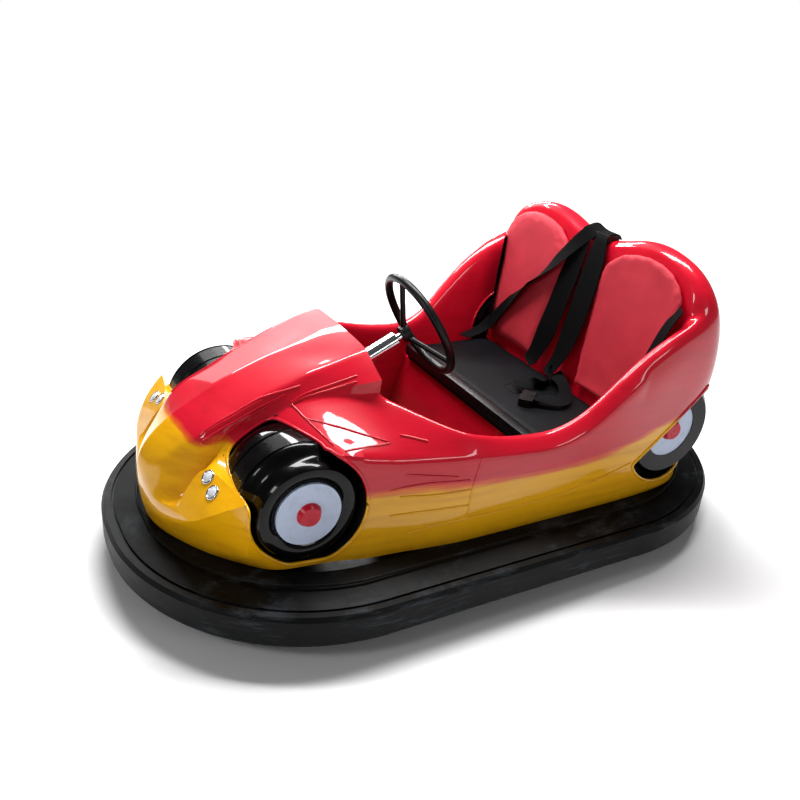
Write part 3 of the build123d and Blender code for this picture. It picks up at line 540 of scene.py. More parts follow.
bonnet = [[corner(p) for p in row] for row in BONNET]
ridge_line = [row[0] for row in BONNET] + list(BONNET[-1][1:])
panel([[corner((x, 0, z)) for x, z in MIDDLE],
       [corner((m[0], y, z)) for m, (y, z) in zip(MIDDLE, INNER)],
       [corner(p) for p in ridge_line]])
panel(bonnet)
SEAT_FOOT = 340
sides = [[corner(p) for p in (row[0], (row[0][0], row[0][1], SEAT_FOOT)) + row[1:]]
         for row in SIDES]
panel(sides)
feet = [row[-1] for row in BONNET]
nose_foot = (MIDDLE[-1][0], 0, FOOT_Z)
panel([[corner(p) for p in feet],
       [corner((p[0], 0, FOOT_Z)) for p in feet[:-1]] + [corner(nose_foot)]], LID)
nose_lid = [corner(p) for p in (feet[-1], (nose_foot[0], *INNER[-1]), nose_foot)]
bm.faces.new(nose_lid).material_index = LID
panel([[corner(row[-1]) for row in SIDES], [corner(row[0]) for row in SIDES]], LID)
cowl_x, cowl_top = MIDDLE[0]
cowl_end = [(cowl_x, 0, cowl_top), (cowl_x, *INNER[0])] + list(BONNET[0][:3]) + [
    SIDES[0][2], SIDES[0][1], (*SIDES[0][0][:2], SEAT_FOOT), SIDES[0][0], feet[0],
    (feet[0][0], 0, FOOT_Z)]
bm.faces.new([corner(p) for p in cowl_end]).material_index = LID
bmesh.ops.remove_doubles(bm, verts=bm.verts, dist=0.0004)
bmesh.ops.recalc_face_normals(bm, faces=bm.faces)


def crease(points, amount):
    """Keep the edges between neighbouring points of a list crisp."""
    found = 0
    marks = [Vector(p) / 1000 for p in points]
    for a, b in zip(marks, marks[1:]):
        for e in bm.edges:
            ends = e.verts[0].co, e.verts[1].co
            if min((ends[0] - a).length + (ends[1] - b).length,
                   (ends[0] - b).length + (ends[1] - a).length) < 0.0012:
                e[sharp] = amount
                found += 1
    return found


creased = crease(ridge_line[:15], 0.95)
creased += crease([row[1] for row in BONNET[:11]], 1.0)
creased += crease([row[2] for row in BONNET[:6]], 0.7)
creased += crease([row[3] for row in BONNET[:6]], 0.5)
LAMP_FACE = ((10, 2), (10, 3), (11, 3), (12, 3), (12, 2), (11, 2), (10, 2))
creased += crease([BONNET[i][j] for i, j in LAMP_FACE], 1.0)
creased += crease([BONNET[i][1] for i in (10, 11, 12)], 1.0)
creased += crease([BONNET[i][2] for i in (12, 13, 14)], 0.5)
creased += crease([BONNET[10][3], BONNET[10][4], BONNET[10][5]], 0.8)
creased += crease([row[4] for row in SIDES[:14]], 0.55)
creased += crease([row[3] for row in SIDES[14:19]], 0.3)
creased += crease([row[-2] for row in BONNET[9:]], 0.6)
for e in bm.edges:
    kinds = {f.material_index for f in e.link_faces}
    if LID in kinds and len(kinds) > 1:
        e[sharp] = 1
body = from_mesh("body_shell", bm, lacquer)
body.data.materials.append(lacquer)
body.data.materials.append(finish["welded_steel_black_enamel"])
modify(body, "MIRROR", use_axis=(False, True, False), use_clip=True, merge_threshold=0.0005)
modify(body, "SUBSURF", levels=3, render_levels=3, boundary_smooth="PRESERVE_CORNERS")
print("creased edges", creased, "triangles", triangles(body))

# %% Cut the wheel pockets and give the moulding its wall
def drum(name, centre, radius, inner, outer, side, forward=1.0, behind=1.0):
    """A cutter round a wheel's axis, between two distances from the middle of the car."""
    bpy.ops.mesh.primitive_cylinder_add(vertices=96, radius=radius, depth=outer - inner,
                                        rotation=(math.pi / 2, 0, 0),
                                        location=(centre[0], side * (inner + outer) / 2,
                                                  centre[1]))
    made = bpy.context.object
    made.name = name
    settle(made)
    for v in made.data.vertices:
        v.co.x = centre[0] + (v.co.x - centre[0]) * (forward if v.co.x > centre[0] else behind)
    for _ in range(3):
        made.data.materials.append(finish["welded_steel_black_enamel"])
    for p in made.data.polygons:
        p.material_index = POCKET
    return made


def trim(piece, place, normal):
    """Take away what lies on the normal's side of a plane, and close the cut."""
    only(piece)
    bpy.ops.object.mode_set(mode="EDIT")
    bpy.ops.mesh.select_all(action="SELECT")
    bpy.ops.mesh.bisect(plane_co=place, plane_no=normal, use_fill=True, clear_outer=True)
    bpy.ops.mesh.select_all(action="SELECT")
    bpy.ops.mesh.normals_make_consistent(inside=False)
    bpy.ops.object.mode_set(mode="OBJECT")
    for p in piece.data.polygons:
        p.material_index = POCKET


# places as (along the car, height), and distances from the middle of the car, in metres
FRONT_AXIS, REAR_AXIS = (0.561, 0.332), (-0.575, 0.375)
POCKET_RADIUS, POCKET_INSIDE, POCKET_ROUND = 0.166, 0.160, 0.020
MOUTH_CENTRE, MOUTH_RADIUS = (0.561, 0.341), 0.158
SKIRT_TOP, SKIRT_INSIDE, OVERLAP, PAST_BODY = 0.192, 0.352, 0.004, 0.56
WELL_RADIUS, WELL_INSIDE, WELL_OUTSIDE = 0.168, 0.398, 0.440
ARCH_RADIUS, ARCH_INSIDE = 0.1692, 0.436
ARCH_EDGE, ARCH_NORMAL = (-0.552, 0, 0.405), (0.67, 0, 0.743)
for side in (1, -1):
    # in front, a round-cornered drum behind the skirt and a mouth through the skin above it
    inner = drum("front_pocket", FRONT_AXIS, POCKET_RADIUS, POCKET_INSIDE, SKIRT_INSIDE, side, 0.965)
    modify(inner, "BEVEL", width=POCKET_ROUND, segments=4, limit_method="ANGLE")
    outer = drum("front_mouth", MOUTH_CENTRE, MOUTH_RADIUS, SKIRT_INSIDE - OVERLAP, PAST_BODY,
                 side, 0.955, 0.96)
    trim(outer, (0, 0, SKIRT_TOP), (0, 0, -1))
    # behind, a shallow well and a mouth whose upper front stays covered by the arch
    well = drum("rear_pocket", REAR_AXIS, WELL_RADIUS, WELL_INSIDE, WELL_OUTSIDE, side)
    arch = drum("rear_mouth", REAR_AXIS, ARCH_RADIUS, ARCH_INSIDE, PAST_BODY, side)
    trim(arch, ARCH_EDGE, ARCH_NORMAL)
    for cutter in (inner, outer, well, arch):
        modify(body, "BOOLEAN", object=cutter, operation="DIFFERENCE", solver="EXACT",
               material_mode="INDEX")
        print(side, cutter.name, "leaves", triangles(body))
        bpy.data.objects.remove(cutter)
bm = bmesh.new()
bm.from_mesh(body.data)
open_edges = sum(1 for e in bm.edges if not e.is_manifold)
bmesh.ops.delete(bm, geom=[f for f in bm.faces if f.material_index == LID], context="FACES")
rim_edges = [e for e in bm.edges if {f.material_index for f in e.link_faces} == {SKIN, POCKET}]
rims = [(tuple(e.verts[0].co), tuple(e.verts[1].co)) for e in rim_edges]
bm.to_mesh(body.data)
bm.free()
MOULDING_WALL = 0.008
modify(body, "SOLIDIFY", thickness=MOULDING_WALL, offset=-1, use_rim=True)
smooth(body, 38)
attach(body, "car")
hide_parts("front_shell", "side_panel_left", "side_panel_right", "rear_shell")
print("open edges of the solid", open_edges, "pocket rim edges", len(rims),
      "triangles", triangles(body))

# %% [markdown]
# ## Rolled edge of the wheel pockets
# A moulding's cut edge is turned over a wire so that it is stiff and kind to
# hands. The cut line is followed and given a round section.

# %% Roll the pocket edges
def chains(pairs):
    """Join loose edges, given as pairs of points, into lines of points."""
    key = lambda p: tuple(round(c * 5000) for c in p)
    near = {}
    for a, b in pairs:
        near.setdefault(key(a), []).append(b)
        near.setdefault(key(b), []).append(a)
    spots = {key(p): p for pair in pairs for p in pair}
    left = set(spots)
    found = []
    while left:
        ends = [k for k in left if len(near[k]) == 1] or list(left)
        at = sorted(ends)[0]
        run = []
        while at is not None:
            left.discard(at)
            run.append(Vector(spots[at]))
            onward = sorted(k for k in {key(p) for p in near[at]} if k in left)
            at = onward[0] if onward else None
        found.append(run)
    return [run for run in found if len(run) > 6]


def even(run, step=0.008):
    """The same line with evenly spaced points, smoothed a little."""
    out, carry = [run[0]], 0.0
    for a, b in zip(run, run[1:]):
        length = (b - a).length
        while carry + length >= step:
            a = a + (b - a) * ((step - carry) / (b - a).length)
            length = (b - a).length
            carry = 0.0
            out.append(a)
        carry += length
    out.append(run[-1])
    for _ in range(2):
        between = [(p + q * 2 + r) / 4 for p, q, r in zip(out, out[1:], out[2:])]
        out = [out[0]] + between + [out[-1]]
    return out


def rod(name, points, radius, material, closed=False):
    """A round rod along a line of points, as a mesh."""
    data = bpy.data.curves.new(name, "CURVE")
    data.dimensions = "3D"
    data.bevel_depth = radius
    data.bevel_resolution = 3
    data.use_fill_caps = True
    spline = data.splines.new("POLY")
    spline.points.add(len(points) - 1)
    for spot, p in zip(spline.points, points):
        spot.co = (*p, 1)
    spline.use_cyclic_u = closed
    piece = bpy.data.objects.new(name, data)
    bpy.context.scene.collection.objects.link(piece)
    only(piece)
    bpy.ops.object.convert(target="MESH")
    piece = bpy.context.object
    piece.data.materials.clear()
    piece.data.materials.append(material)
    bpy.ops.object.shade_smooth()
    return piece


ROLL_RADIUS = 0.0045
rolled = []
for count, run in enumerate(chains(rims)):
    piece = rod(f"pocket_roll_{count}", even(run), ROLL_RADIUS, lacquer)
    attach(piece, "car")
    rolled.append(piece)
print("rolled edges", len(rolled))

# %% [markdown]
# ## Flutes
# Thin raised lines are moulded in the bonnet's sides, over the wings and along
# the doors. Each is a fine round rod laid half into the skin: its points are
# given roughly and then moved to the nearest point of the moulding.

# %% Flutes on both sides
# from above the wing and the bonnet's side back to the door and the skirt, in millimetres
FLUTE_RADIUS = 0.003
FLUTES = [
    [(364, 216, 600), (431, 198, 576), (497, 181, 553), (527, 178, 534)],
    [(369, 227, 589), (434, 206, 567), (506, 184, 544), (528, 179, 533)],
    [(500, 167, 571), (554, 154, 556), (605, 140, 538), (680, 137, 502), (754, 132, 459)],
    [(537, 163, 551), (597, 153, 524), (654, 150, 497), (711, 150, 472), (759, 141, 443),
     (748, 151, 440), (735, 158, 436), (681, 153, 468), (632, 153, 497), (592, 156, 519),
     (552, 162, 540)],
    [(528, 180, 531), (513, 247, 515), (494, 322, 499), (474, 386, 475)],
    [(511, 243, 516), (469, 290, 514), (406, 331, 499), (330, 367, 476), (395, 368, 479),
     (465, 375, 484)],
    [(304, 355, 487), (272, 370, 481), (241, 388, 474)],
    [(114, 453, 430), (122, 451, 386), (129, 449, 337), (131, 446, 290), (133, 445, 242)],
    [(312, 413, 404), (244, 427, 394), (174, 443, 384)],
    [(353, 410, 364), (305, 416, 369), (258, 425, 373), (140, 449, 370)],
    [(325, 414, 342), (272, 424, 338), (218, 435, 336), (132, 448, 339)],
    [(349, 413, 290), (268, 426, 290), (200, 438, 291), (134, 446, 290)],
    [(296, 422, 229), (226, 434, 243), (128, 445, 247), (-6, 448, 247), (-141, 450, 250),
     (-279, 452, 265), (-418, 455, 303)],
]
for number, points in enumerate(FLUTES):
    run = even([Vector(p) / 1000 for p in points], 0.01)
    lying = [body.closest_point_on_mesh(p)[1] for p in run]
    for side in (1, -1):
        piece = rod(f"flute_{number}_{'left' if side > 0 else 'right'}",
                    [Vector((p.x, p.y * side, p.z)) for p in lying], FLUTE_RADIUS, lacquer)
        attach(piece, "car")
print("flutes", 2 * len(FLUTES))

# %% [markdown]
# ## Lamps in the nose
# The face on each side of the nose carries a pair of small round lamps: a
# chrome ring around a clear domed lens. Each is laid flat on the moulding by
# the nearest point of its skin and the way that the skin faces there.

# %% Lamps
lens_plastic, tree, shader = start("pressed_clear_lens", Roughness=0.12, Coat_Weight=1.0)
rings = add(tree, "ShaderNodeTexVoronoi", {"Vector": places(tree), "Scale": 260})
pressed = add(tree, "ShaderNodeMix", {SHARE: rings.outputs["Distance"], FIRST: tint("F4F5F8"),
                                      SECOND: tint("A9AFBA")}, data_type="RGBA")
bump = add(tree, "ShaderNodeBump", {"Height": rings.outputs["Distance"], "Distance": 0.0006})
join(tree, shader, Base_Color=pressed.outputs[MIXED], Normal=bump.outputs[0])
LAMPS = ((0.764, 0.228, 0.396), (0.764, 0.276, 0.376))
LAMP_RADIUS, RING_THICKNESS, RING_PROUD, LENS_DOME = 0.0165, 0.0028, 0.0015, 0.42
for side, word in ((1, "left"), (-1, "right")):
    for number, near in enumerate(LAMPS):
        spot, out = body.closest_point_on_mesh(near)[1:3]
        spot, out = Vector((spot.x, spot.y * side, spot.z)), Vector((out.x, out.y * side, out.z))
        turn = out.to_track_quat("Z", "Y").to_euler()
        bpy.ops.mesh.primitive_torus_add(major_radius=LAMP_RADIUS, minor_radius=RING_THICKNESS,
                                         major_segments=48, minor_segments=12,
                                         location=spot + out * RING_PROUD, rotation=turn)
        bezel = bpy.context.object
        bpy.ops.mesh.primitive_uv_sphere_add(segments=40, ring_count=20, radius=LAMP_RADIUS,
                                             location=spot, rotation=turn)
        lens_piece = bpy.context.object
        lens_piece.scale = (1, 1, LENS_DOME)
        for piece, label, material, slot in (
                (bezel, "lamp_ring", finish["polished_chrome_steel"], "bright_steel"),
                (lens_piece, "lamp_lens", lens_plastic, "bright_steel")):
            piece.name = f"{label}_{word}_{number}"
            settle(piece)
            piece.data.materials.append(material)
            bpy.ops.object.shade_smooth()
            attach(piece, "car")
print("lamps", 2 * len(LAMPS))

# %% [markdown]
# ## Lip of the bumper
# The rubber bumper is moulded with a raised bead just inside its outer edge.
# The edge is read from the CAD piece, so the bead follows it all the way round.

# %% Bead along the bumper's outer edge
ring_node = nodes["bumper_ring"]
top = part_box("bumper_ring")[1].z
flat = [ring_node.matrix_world @ v.co for v in ring_node.data.vertices]
flat = [Vector((p.x, p.y)) for p in flat if p.z > top - 0.02]
hull = [flat[i] for i in convex_hull_2d(flat)]
# how far in from the edge the bead runs, along and across, its radius and its depth in the rubber
BEAD_ALONG, BEAD_ACROSS, BEAD_RADIUS, BEAD_SUNK = 0.975, 0.958, 0.0035, 0.0005
edge_line = [Vector((p.x * BEAD_ALONG, p.y * BEAD_ACROSS, top - BEAD_SUNK)) for p in hull + hull[:1]]
outline = even(edge_line, 0.01)[:-1]
bead = rod("bumper_bead", outline, BEAD_RADIUS, bumper_rubber, closed=True)
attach(bead, "car")
print("bead points", len(outline))

# %% [markdown]
# ## Moulded front tyres
# The wheels turn nothing: they are hollow mouldings made to look like fat
# racing tyres. A tyre is one outline spun round the wheel's axis. Two grooves
# with rounded lips divide its tread, and its shoulders are round.

# %% Spin the front tyres
# radius and distance from the middle of the car, in millimetres
TYRE_OUTLINE = [(60, 377), (88, 378), (94, 383), (104, 387), (119, 388), (127, 385), (132, 378),
                (135, 369), (137, 359), (139, 350), (144, 343), (151, 336), (158, 329),
                (162, 323), (163, 319), (161.5, 317.5),
                (158, 316.5), (158, 312.5), (161.5, 311.5), (163, 310), (163, 280), (163, 249),
                (161.5, 247.5), (158, 246.5), (158, 242.5), (161.5, 241.5), (163, 240), (163, 215),
                (162, 200), (158, 188), (151, 176), (138, 169), (120, 166), (60, 166)]
for side, name in ((1, "front_tyre_left"), (-1, "front_tyre_right")):
    bm = bmesh.new()
    ring = [bm.verts.new((FRONT_AXIS[0], side * y / 1000, FRONT_AXIS[1] + r / 1000))
            for r, y in TYRE_OUTLINE]
    for a, b in zip(ring, ring[1:]):
        bm.edges.new((a, b))
    tyre = from_mesh("moulded_" + name, bm, tyre_paint)
    only(tyre)
    bpy.ops.object.mode_set(mode="EDIT")
    bpy.ops.mesh.select_all(action="SELECT")
    bpy.ops.mesh.spin(steps=96, angle=2 * math.pi, center=(FRONT_AXIS[0], 0, FRONT_AXIS[1]),
                      axis=(0, 1, 0))
    bpy.ops.mesh.select_all(action="SELECT")
    bpy.ops.mesh.remove_doubles(threshold=0.0001)
    bpy.ops.mesh.select_non_manifold()
    bpy.ops.mesh.edge_face_add()
    bpy.ops.mesh.select_all(action="SELECT")
    bpy.ops.mesh.normals_make_consistent(inside=False)
    bpy.ops.object.mode_set(mode="OBJECT")
    smooth(tyre, 32)
    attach(tyre, "car")
    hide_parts(name)
    print(tyre.name, "triangles", triangles(tyre))

# %% [markdown]
# ## Seat and back pads
# The pads are foam in a vinyl skin. Each starts as a plain shape a little
# smaller than the pad, is remeshed fine, and is then blown up as cloth by a
# small pressure, as the foam pushes its skin out. Points that rest on the
# moulding stay where they are.

# %% Helper that fills a pad
VOXEL, LAST_FRAME = 0.005, 20


def fill_pad(piece, pressure, limit, held):
    """Blow the skin up as cloth. held says which points stay, and limit how far one may go."""
    modify(piece, "REMESH", mode="VOXEL", voxel_size=VOXEL)
    modify(piece, "SMOOTH", factor=0.5, iterations=8)
    before = [v.co.copy() for v in piece.data.vertices]
    group = piece.vertex_groups.new(name="held")
    group.add([i for i, co in enumerate(before) if held(co)], 1, "REPLACE")
    only(piece)
    cloth = piece.modifiers.new("foam", "CLOTH")
    cloth.settings.use_pressure = True
    cloth.settings.uniform_pressure_force = pressure
    cloth.settings.vertex_group_mass = "held"
    cloth.settings.effector_weights.gravity = 0
    for number in range(1, LAST_FRAME + 1):
        bpy.context.scene.frame_set(number)
    bpy.ops.object.modifier_apply(modifier="foam")
    bpy.context.scene.frame_set(1)
    for v, co in zip(piece.data.vertices, before):
        move = v.co - co
        if move.length > limit:
            v.co = co + move * (limit / move.length)
    modify(piece, "SMOOTH", factor=0.5, iterations=10)
    only(piece)
    bpy.ops.object.shade_smooth()
    print(piece.name, "triangles", triangles(piece))


# %% Seat top and its front roll
def slab(name, low, high, round_by, material):
    """A box with rounded edges between two corners."""
    middle = (Vector(low) + Vector(high)) / 2
    bpy.ops.mesh.primitive_cube_add(size=1, location=middle, scale=Vector(high) - Vector(low))
    piece = bpy.context.object
    piece.name = name
    settle(piece)
    bpy.ops.object.mode_set(mode="EDIT")
    bpy.ops.mesh.select_all(action="SELECT")
    bpy.ops.mesh.bevel(offset=round_by, segments=4, affect="EDGES")
    bpy.ops.object.mode_set(mode="OBJECT")
    piece.data.materials.append(material)
    return piece


low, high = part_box("seat_cushion")
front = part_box("seat_trim")[1]
# the pad starts this much inside its CAD box, because it swells, and hangs over the trim in front
BESIDE, BELOW, ABOVE, OVER_TRIM, PAD_ROUND = 0.002, 0.003, 0.004, 0.003, 0.007
cushion = slab("seat_top_pad", (low.x + BESIDE, low.y + BESIDE, low.z + BELOW),
               (front.x + OVER_TRIM, high.y - BESIDE, high.z - ABOVE), PAD_ROUND, seat_vinyl)
fill_pad(cushion, 2, 0.004, lambda co: co.z < low.z + 0.02 or co.x > front.x - 0.03)
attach(cushion, "car")
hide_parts("seat_cushion", "seat_trim")

# %% Angle strip along the front edge of the seat
# section as (along the car, height), in millimetres, from its lower front corner
STRIP_SECTION = [(0, 0), (0, 34), (-34, 34), (-34, 32), (-2, 32), (-2, 0)]
strip_x, strip_y, strip_z = front.x + 0.007, high.y - 0.001, high.z - 0.032
bm = bmesh.new()
ends = [[bm.verts.new((strip_x + x / 1000, side * strip_y, strip_z + z / 1000))
         for x, z in STRIP_SECTION] for side in (-1, 1)]
bm.faces.new(ends[0])
bm.faces.new(ends[1])
for a, b, c, d in zip(ends[0], ends[0][1:] + ends[0][:1], ends[1][1:] + ends[1][:1], ends[1]):
    bm.faces.new((a, b, c, d))
bmesh.ops.recalc_face_normals(bm, faces=bm.faces)
edge_strip = from_mesh("seat_edge_strip", bm, finish["soft_grip_plastic"])
modify(edge_strip, "BEVEL", width=0.0009, segments=2)
smooth(edge_strip)
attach(edge_strip, "car")
print(edge_strip.name, "triangles", triangles(edge_strip))

# %% Back pads
BACK_FOOT, BACK_HEAD = Vector((-0.470, 0, 0.340)), Vector((-0.560, 0, 0.905))
back_up = (BACK_HEAD - BACK_FOOT).normalized()
back_out = Vector((0, 1, 0)).cross(back_up).normalized()
# half outline as (distance from the middle of the car, height), in millimetres
PAD_OUTLINE = [(110, 396), (98, 500), (91, 600), (82, 690), (80, 738), (88, 775), (112, 803),
               (150, 828), (200, 843), (252, 849), (303, 845), (350, 830), (386, 806), (408, 778),
               (418, 745), (413, 705), (400, 655), (396, 600), (394, 500), (390, 398)]


def on_back(y, z, off):
    """A point off the seat back's face, by its distance from the middle and its height."""
    rise_along = back_up * ((z - BACK_FOOT.z) / back_up.z)
    return BACK_FOOT + rise_along + Vector((0, y, 0)) + back_out * off


PAD_OFF, PAD_THICKNESS, PAD_RESTS = 0.002, 0.017, 0.006
for side, name in ((1, "backrest_pad_left"), (-1, "backrest_pad_right")):
    bm = bmesh.new()
    base = bm.faces.new([bm.verts.new(on_back(side * y / 1000, z / 1000, PAD_OFF))
                         for y, z in PAD_OUTLINE])
    grown = bmesh.ops.extrude_face_region(bm, geom=[base])
    lifted = [v for v in grown["geom"] if isinstance(v, bmesh.types.BMVert)]
    bmesh.ops.translate(bm, verts=lifted, vec=back_out * PAD_THICKNESS)
    face = [f for f in grown["geom"] if isinstance(f, bmesh.types.BMFace)]
    # two steps inwards crown the pad's face
    bmesh.ops.inset_region(bm, faces=face, thickness=0.012, depth=0.004)
    bmesh.ops.inset_region(bm, faces=face, thickness=0.04, depth=0.002)
    bmesh.ops.recalc_face_normals(bm, faces=bm.faces)
    pad = from_mesh(name.replace("backrest", "back"), bm, pad_vinyl)
    fill_pad(pad, 2, 0.003, lambda co: (co - BACK_FOOT).dot(back_out) < PAD_RESTS)
    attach(pad, "car")
    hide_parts(name)

# %% [markdown]
# ## Belts
# Webbing is flat, so each strap is a strip swept along a few points, with its
# own width direction. The strip keeps its length and width in a UV map.

# %% Helper that makes a strap
WEBBING = 0.048


def strap(name, points, widths, turn, thick=0.0022):
    """A strip through points. Its width and the way that the width lies change along it."""
    line = bpy.data.curves.new("line", "CURVE")
    line.dimensions = "3D"
    spline = line.splines.new("NURBS")
    spline.points.add(len(points) - 1)
    for spot, p in zip(spline.points, points):
        spot.co = (*p, 1)
    spline.order_u = 3
    spline.use_endpoint_u = True
    spline.resolution_u = 12
    holder = bpy.data.objects.new("line", line)
    bpy.context.scene.collection.objects.link(holder)
    path = [v.co.copy() for v in bpy.data.meshes.new_from_object(holder).vertices]
    bpy.data.objects.remove(holder)
    ways = [Vector(w).normalized() for w in turn]
    bm = bmesh.new()
    sheet_uv = bm.loops.layers.uv.new("strap")
    rows, run = [], 0.0
    for i, p in enumerate(path):
        if i:
            run += (p - path[i - 1]).length
        t = i / (len(path) - 1) * (len(ways) - 1)
        k = min(int(t), len(ways) - 2)
        way = ways[k].lerp(ways[k + 1], t - k).normalized()
        ahead = (path[min(i + 1, len(path) - 1)] - path[max(i - 1, 0)]).normalized()
        way = (way - ahead * way.dot(ahead)).normalized()
        u = i / (len(path) - 1) * (len(widths) - 1)
        n = min(int(u), len(widths) - 2)
        width = widths[n] + (widths[n + 1] - widths[n]) * (u - n)
        across = [bm.verts.new(p + way * width * s) for s in (-0.5, -0.25, 0, 0.25, 0.5)]
        rows.append((across, run))
    for (first, d1), (second, d2) in zip(rows, rows[1:]):
        for j in range(4):
            face = bm.faces.new((first[j], first[j + 1], second[j + 1], second[j]))
            for loop, (u, v) in zip(face.loops, ((j, d1), (j + 1, d1), (j + 1, d2), (j, d2))):
                loop[sheet_uv].uv = (u * WEBBING / 4, v)
    piece = from_mesh(name, bm, webbing)
    modify(piece, "SOLIDIFY", thickness=thick, offset=0)
    smooth(piece)
    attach(piece, "car")
    print(name, "length", round(run, 3))
    return piece


# %% The seven straps
EVEN = (WEBBING, WEBBING)
# a shoulder pad is slid over the middle of each shoulder belt
SLEEVED = (WEBBING, WEBBING, WEBBING, WEBBING, 0.072, 0.082, 0.082, 0.080, 0.058, WEBBING)
ACROSS = (0, 1, 0)
# name, CAD belt that it stands for, widths, ways across, points in metres
STRAPS = [
    ("shoulder_strap_left", "shoulder_belt_left", SLEEVED, (ACROSS, ACROSS, ACROSS, (0.2, 1, 0)),
     [(-0.606, 0.034, 0.842), (-0.600, 0.034, 0.858), (-0.574, 0.034, 0.862), (-0.545, 0.036, 0.858),
      (-0.528, 0.046, 0.800), (-0.504, 0.052, 0.705), (-0.482, 0.052, 0.600), (-0.466, 0.036, 0.490),
      (-0.450, 0.012, 0.410), (-0.434, 0.004, 0.393)]),
    ("shoulder_strap_right", "shoulder_belt_right", SLEEVED, (ACROSS, ACROSS, ACROSS, (-0.2, 1, 0)),
     [(-0.606, -0.034, 0.842), (-0.600, -0.034, 0.858), (-0.574, -0.034, 0.862),
      (-0.545, -0.034, 0.856), (-0.524, -0.034, 0.790), (-0.500, -0.042, 0.690),
      (-0.479, -0.052, 0.585), (-0.463, -0.072, 0.478), (-0.448, -0.092, 0.406),
      (-0.434, -0.100, 0.393)]),
    ("crossed_strap", "", EVEN,
     (ACROSS, (0, 0.9, -0.4), (0.1, 0.75, -0.65), (0.5, 0.6, -0.6), (0.95, 0.25, -0.1),
      (0.5, 0.7, -0.5), (0.1, 0.9, -0.4), (0.5, 0.85, 0)),
     [(-0.604, 0.004, 0.846), (-0.594, 0.002, 0.864), (-0.560, -0.004, 0.868), (-0.532, -0.026, 0.842),
      (-0.502, -0.080, 0.764), (-0.484, -0.140, 0.690), (-0.474, -0.215, 0.615),
      (-0.464, -0.285, 0.535), (-0.446, -0.345, 0.445), (-0.400, -0.366, 0.397),
      (-0.345, -0.360, 0.393)]),
    ("far_outer_strap", "", EVEN, ((0.8, 0.5, 0), (0.7, 0.6, 0), (0.6, 0.7, 0)),
     [(-0.512, -0.400, 0.735), (-0.493, -0.392, 0.640), (-0.474, -0.380, 0.530),
      (-0.452, -0.362, 0.430), (-0.430, -0.345, 0.395)]),
    ("near_outer_strap", "", EVEN, ((0.5, 0.8, 0), (0.3, 0.95, 0), (0.2, 0.95, 0)),
     [(-0.516, 0.428, 0.757), (-0.500, 0.410, 0.717), (-0.483, 0.384, 0.610),
      (-0.464, 0.362, 0.480), (-0.444, 0.346, 0.408), (-0.425, 0.338, 0.393)]),
    ("lap_strap_tongue", "", EVEN, ((0.5, 0.8, 0), (0.9, 0.3, 0.1), (0.8, -0.6, 0.1)),
     [(-0.455, 0.010, 0.402), (-0.430, 0.050, 0.400), (-0.385, 0.085, 0.399), (-0.330, 0.080, 0.398),
      (-0.275, 0.062, 0.404)]),
    ("lap_strap_buckle", "", EVEN, ((0.6, 0.8, 0), (0.9, 0.2, 0.25), (0.5, -0.85, 0.2), (0.5, -0.85, 0)),
     [(-0.450, 0.030, 0.398), (-0.420, 0.100, 0.410), (-0.385, 0.175, 0.408), (-0.340, 0.215, 0.404),
      (-0.300, 0.195, 0.404), (-0.268, 0.165, 0.406)]),
]
for name, stands_for, widths, turn, points in STRAPS:
    belt = strap(name, points, widths, turn)
    if stands_for:
        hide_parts(stands_for)

# %% Steel tongue of the buckle
TONGUE_HEIGHT, TONGUE_BAR, TONGUE_PLATE = 0.4035, 0.007, 0.0025
bm = bmesh.new()
TONGUE = [(-0.262, 0.052), (-0.230, 0.056), (-0.226, 0.100), (-0.232, 0.118), (-0.258, 0.118),
          (-0.266, 0.100)]
base = bm.faces.new([bm.verts.new((x, y, TONGUE_HEIGHT)) for x, y in TONGUE])
# a ring of faces is left round the slot for the webbing
bmesh.ops.inset_region(bm, faces=[base], thickness=TONGUE_BAR, use_boundary=True)
bmesh.ops.delete(bm, geom=[base], context="FACES")
bmesh.ops.recalc_face_normals(bm, faces=bm.faces)
tongue = from_mesh("buckle_tongue", bm, finish["polished_chrome_steel"])
modify(tongue, "SOLIDIFY", thickness=TONGUE_PLATE, offset=0)
modify(tongue, "BEVEL", width=0.0007, segments=2)
smooth(tongue)
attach(tongue, "car")
print(tongue.name, "triangles", triangles(tongue))

# %% [markdown]
# ## Floor and light
# A plain pale floor, a big soft light overhead, a softer one from the camera's
# left, strips that draw the long highlights on the lacquer, and a dim panel on
# the far side that makes the top of the bonnet pale.

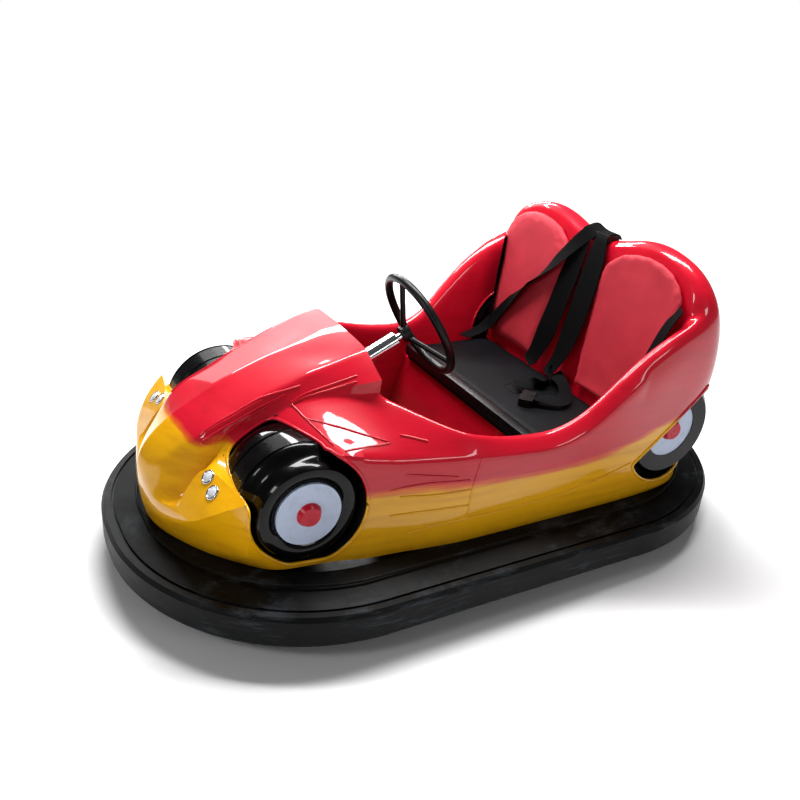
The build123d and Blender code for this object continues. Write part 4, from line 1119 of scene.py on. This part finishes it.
# %% Floor and lights
bpy.ops.mesh.primitive_plane_add(size=14, location=(0, 0, 0))
floor = bpy.context.object
floor.name = "studio_floor"
floor_finish, tree, shader = start("pale_studio_floor", Base_Color=tint("F2F2F3"), Roughness=0.8,
                                   Emission_Color=tint("FFFFFF"))
spread = add(tree, "ShaderNodeVectorMath", {0: places(tree)}, operation="LENGTH")
away = add(tree, "ShaderNodeMapRange", {"Value": spread.outputs["Value"], "From Min": 1.5,
                                        "From Max": 4.2, "To Max": 0.9},
           interpolation_type="SMOOTHSTEP")
join(tree, shader, Emission_Strength=away.outputs["Result"])
floor.data.materials.append(floor_finish)


def soft_light(name, place, target, size, watts):
    """A rectangle of light that faces a point."""
    data = bpy.data.lights.new(name, "AREA")
    data.shape = "RECTANGLE"
    data.size, data.size_y = size
    data.energy = watts
    made = bpy.data.objects.new(name, data)
    made.location = place
    made.rotation_euler = (Vector(target) - Vector(place)).to_track_quat("-Z", "Y").to_euler()
    bpy.context.scene.collection.objects.link(made)


soft_light("overhead", (-0.2, -0.5, 2.8), (0.15, 0, 0.2), (2.6, 0.55), 145)
soft_light("front_left", (2.7, 0.9, 1.9), (0.2, 0, 0.3), (0.6, 0.6), 14)
soft_light("far_strip", (-0.3, -2.5, 2.3), (0.3, 0, 0.5), (2.8, 0.22), 60)
soft_light("far_strip_low", (-0.9, -2.7, 1.5), (0.2, 0, 0.5), (2.2, 0.12), 30)
soft_light("far_panel", (-0.5, -4.2, 2.3), (0.3, 0, 0.6), (3.4, 2.0), 38)
soft_light("near_side", (-0.5, 3.2, 1.7), (-0.1, 0, 0.3), (1.4, 0.3), 12)
world = bpy.data.worlds.new("studio")
world.use_nodes = True
tree = world.node_tree
sky = tree.nodes["Background"]
sky.inputs["Color"].default_value = tint("FFFFFF")
# the room is white to look at, but gives the car only a dim even light
seen = add(tree, "ShaderNodeLightPath")
power = add(tree, "ShaderNodeMapRange", {"Value": seen.outputs["Is Camera Ray"], "To Min": 0.1,
                                         "To Max": 1.0})
tree.links.new(power.outputs["Result"], sky.inputs["Strength"])
bpy.context.scene.world = world
bpy.context.scene.view_settings.view_transform = "Standard"
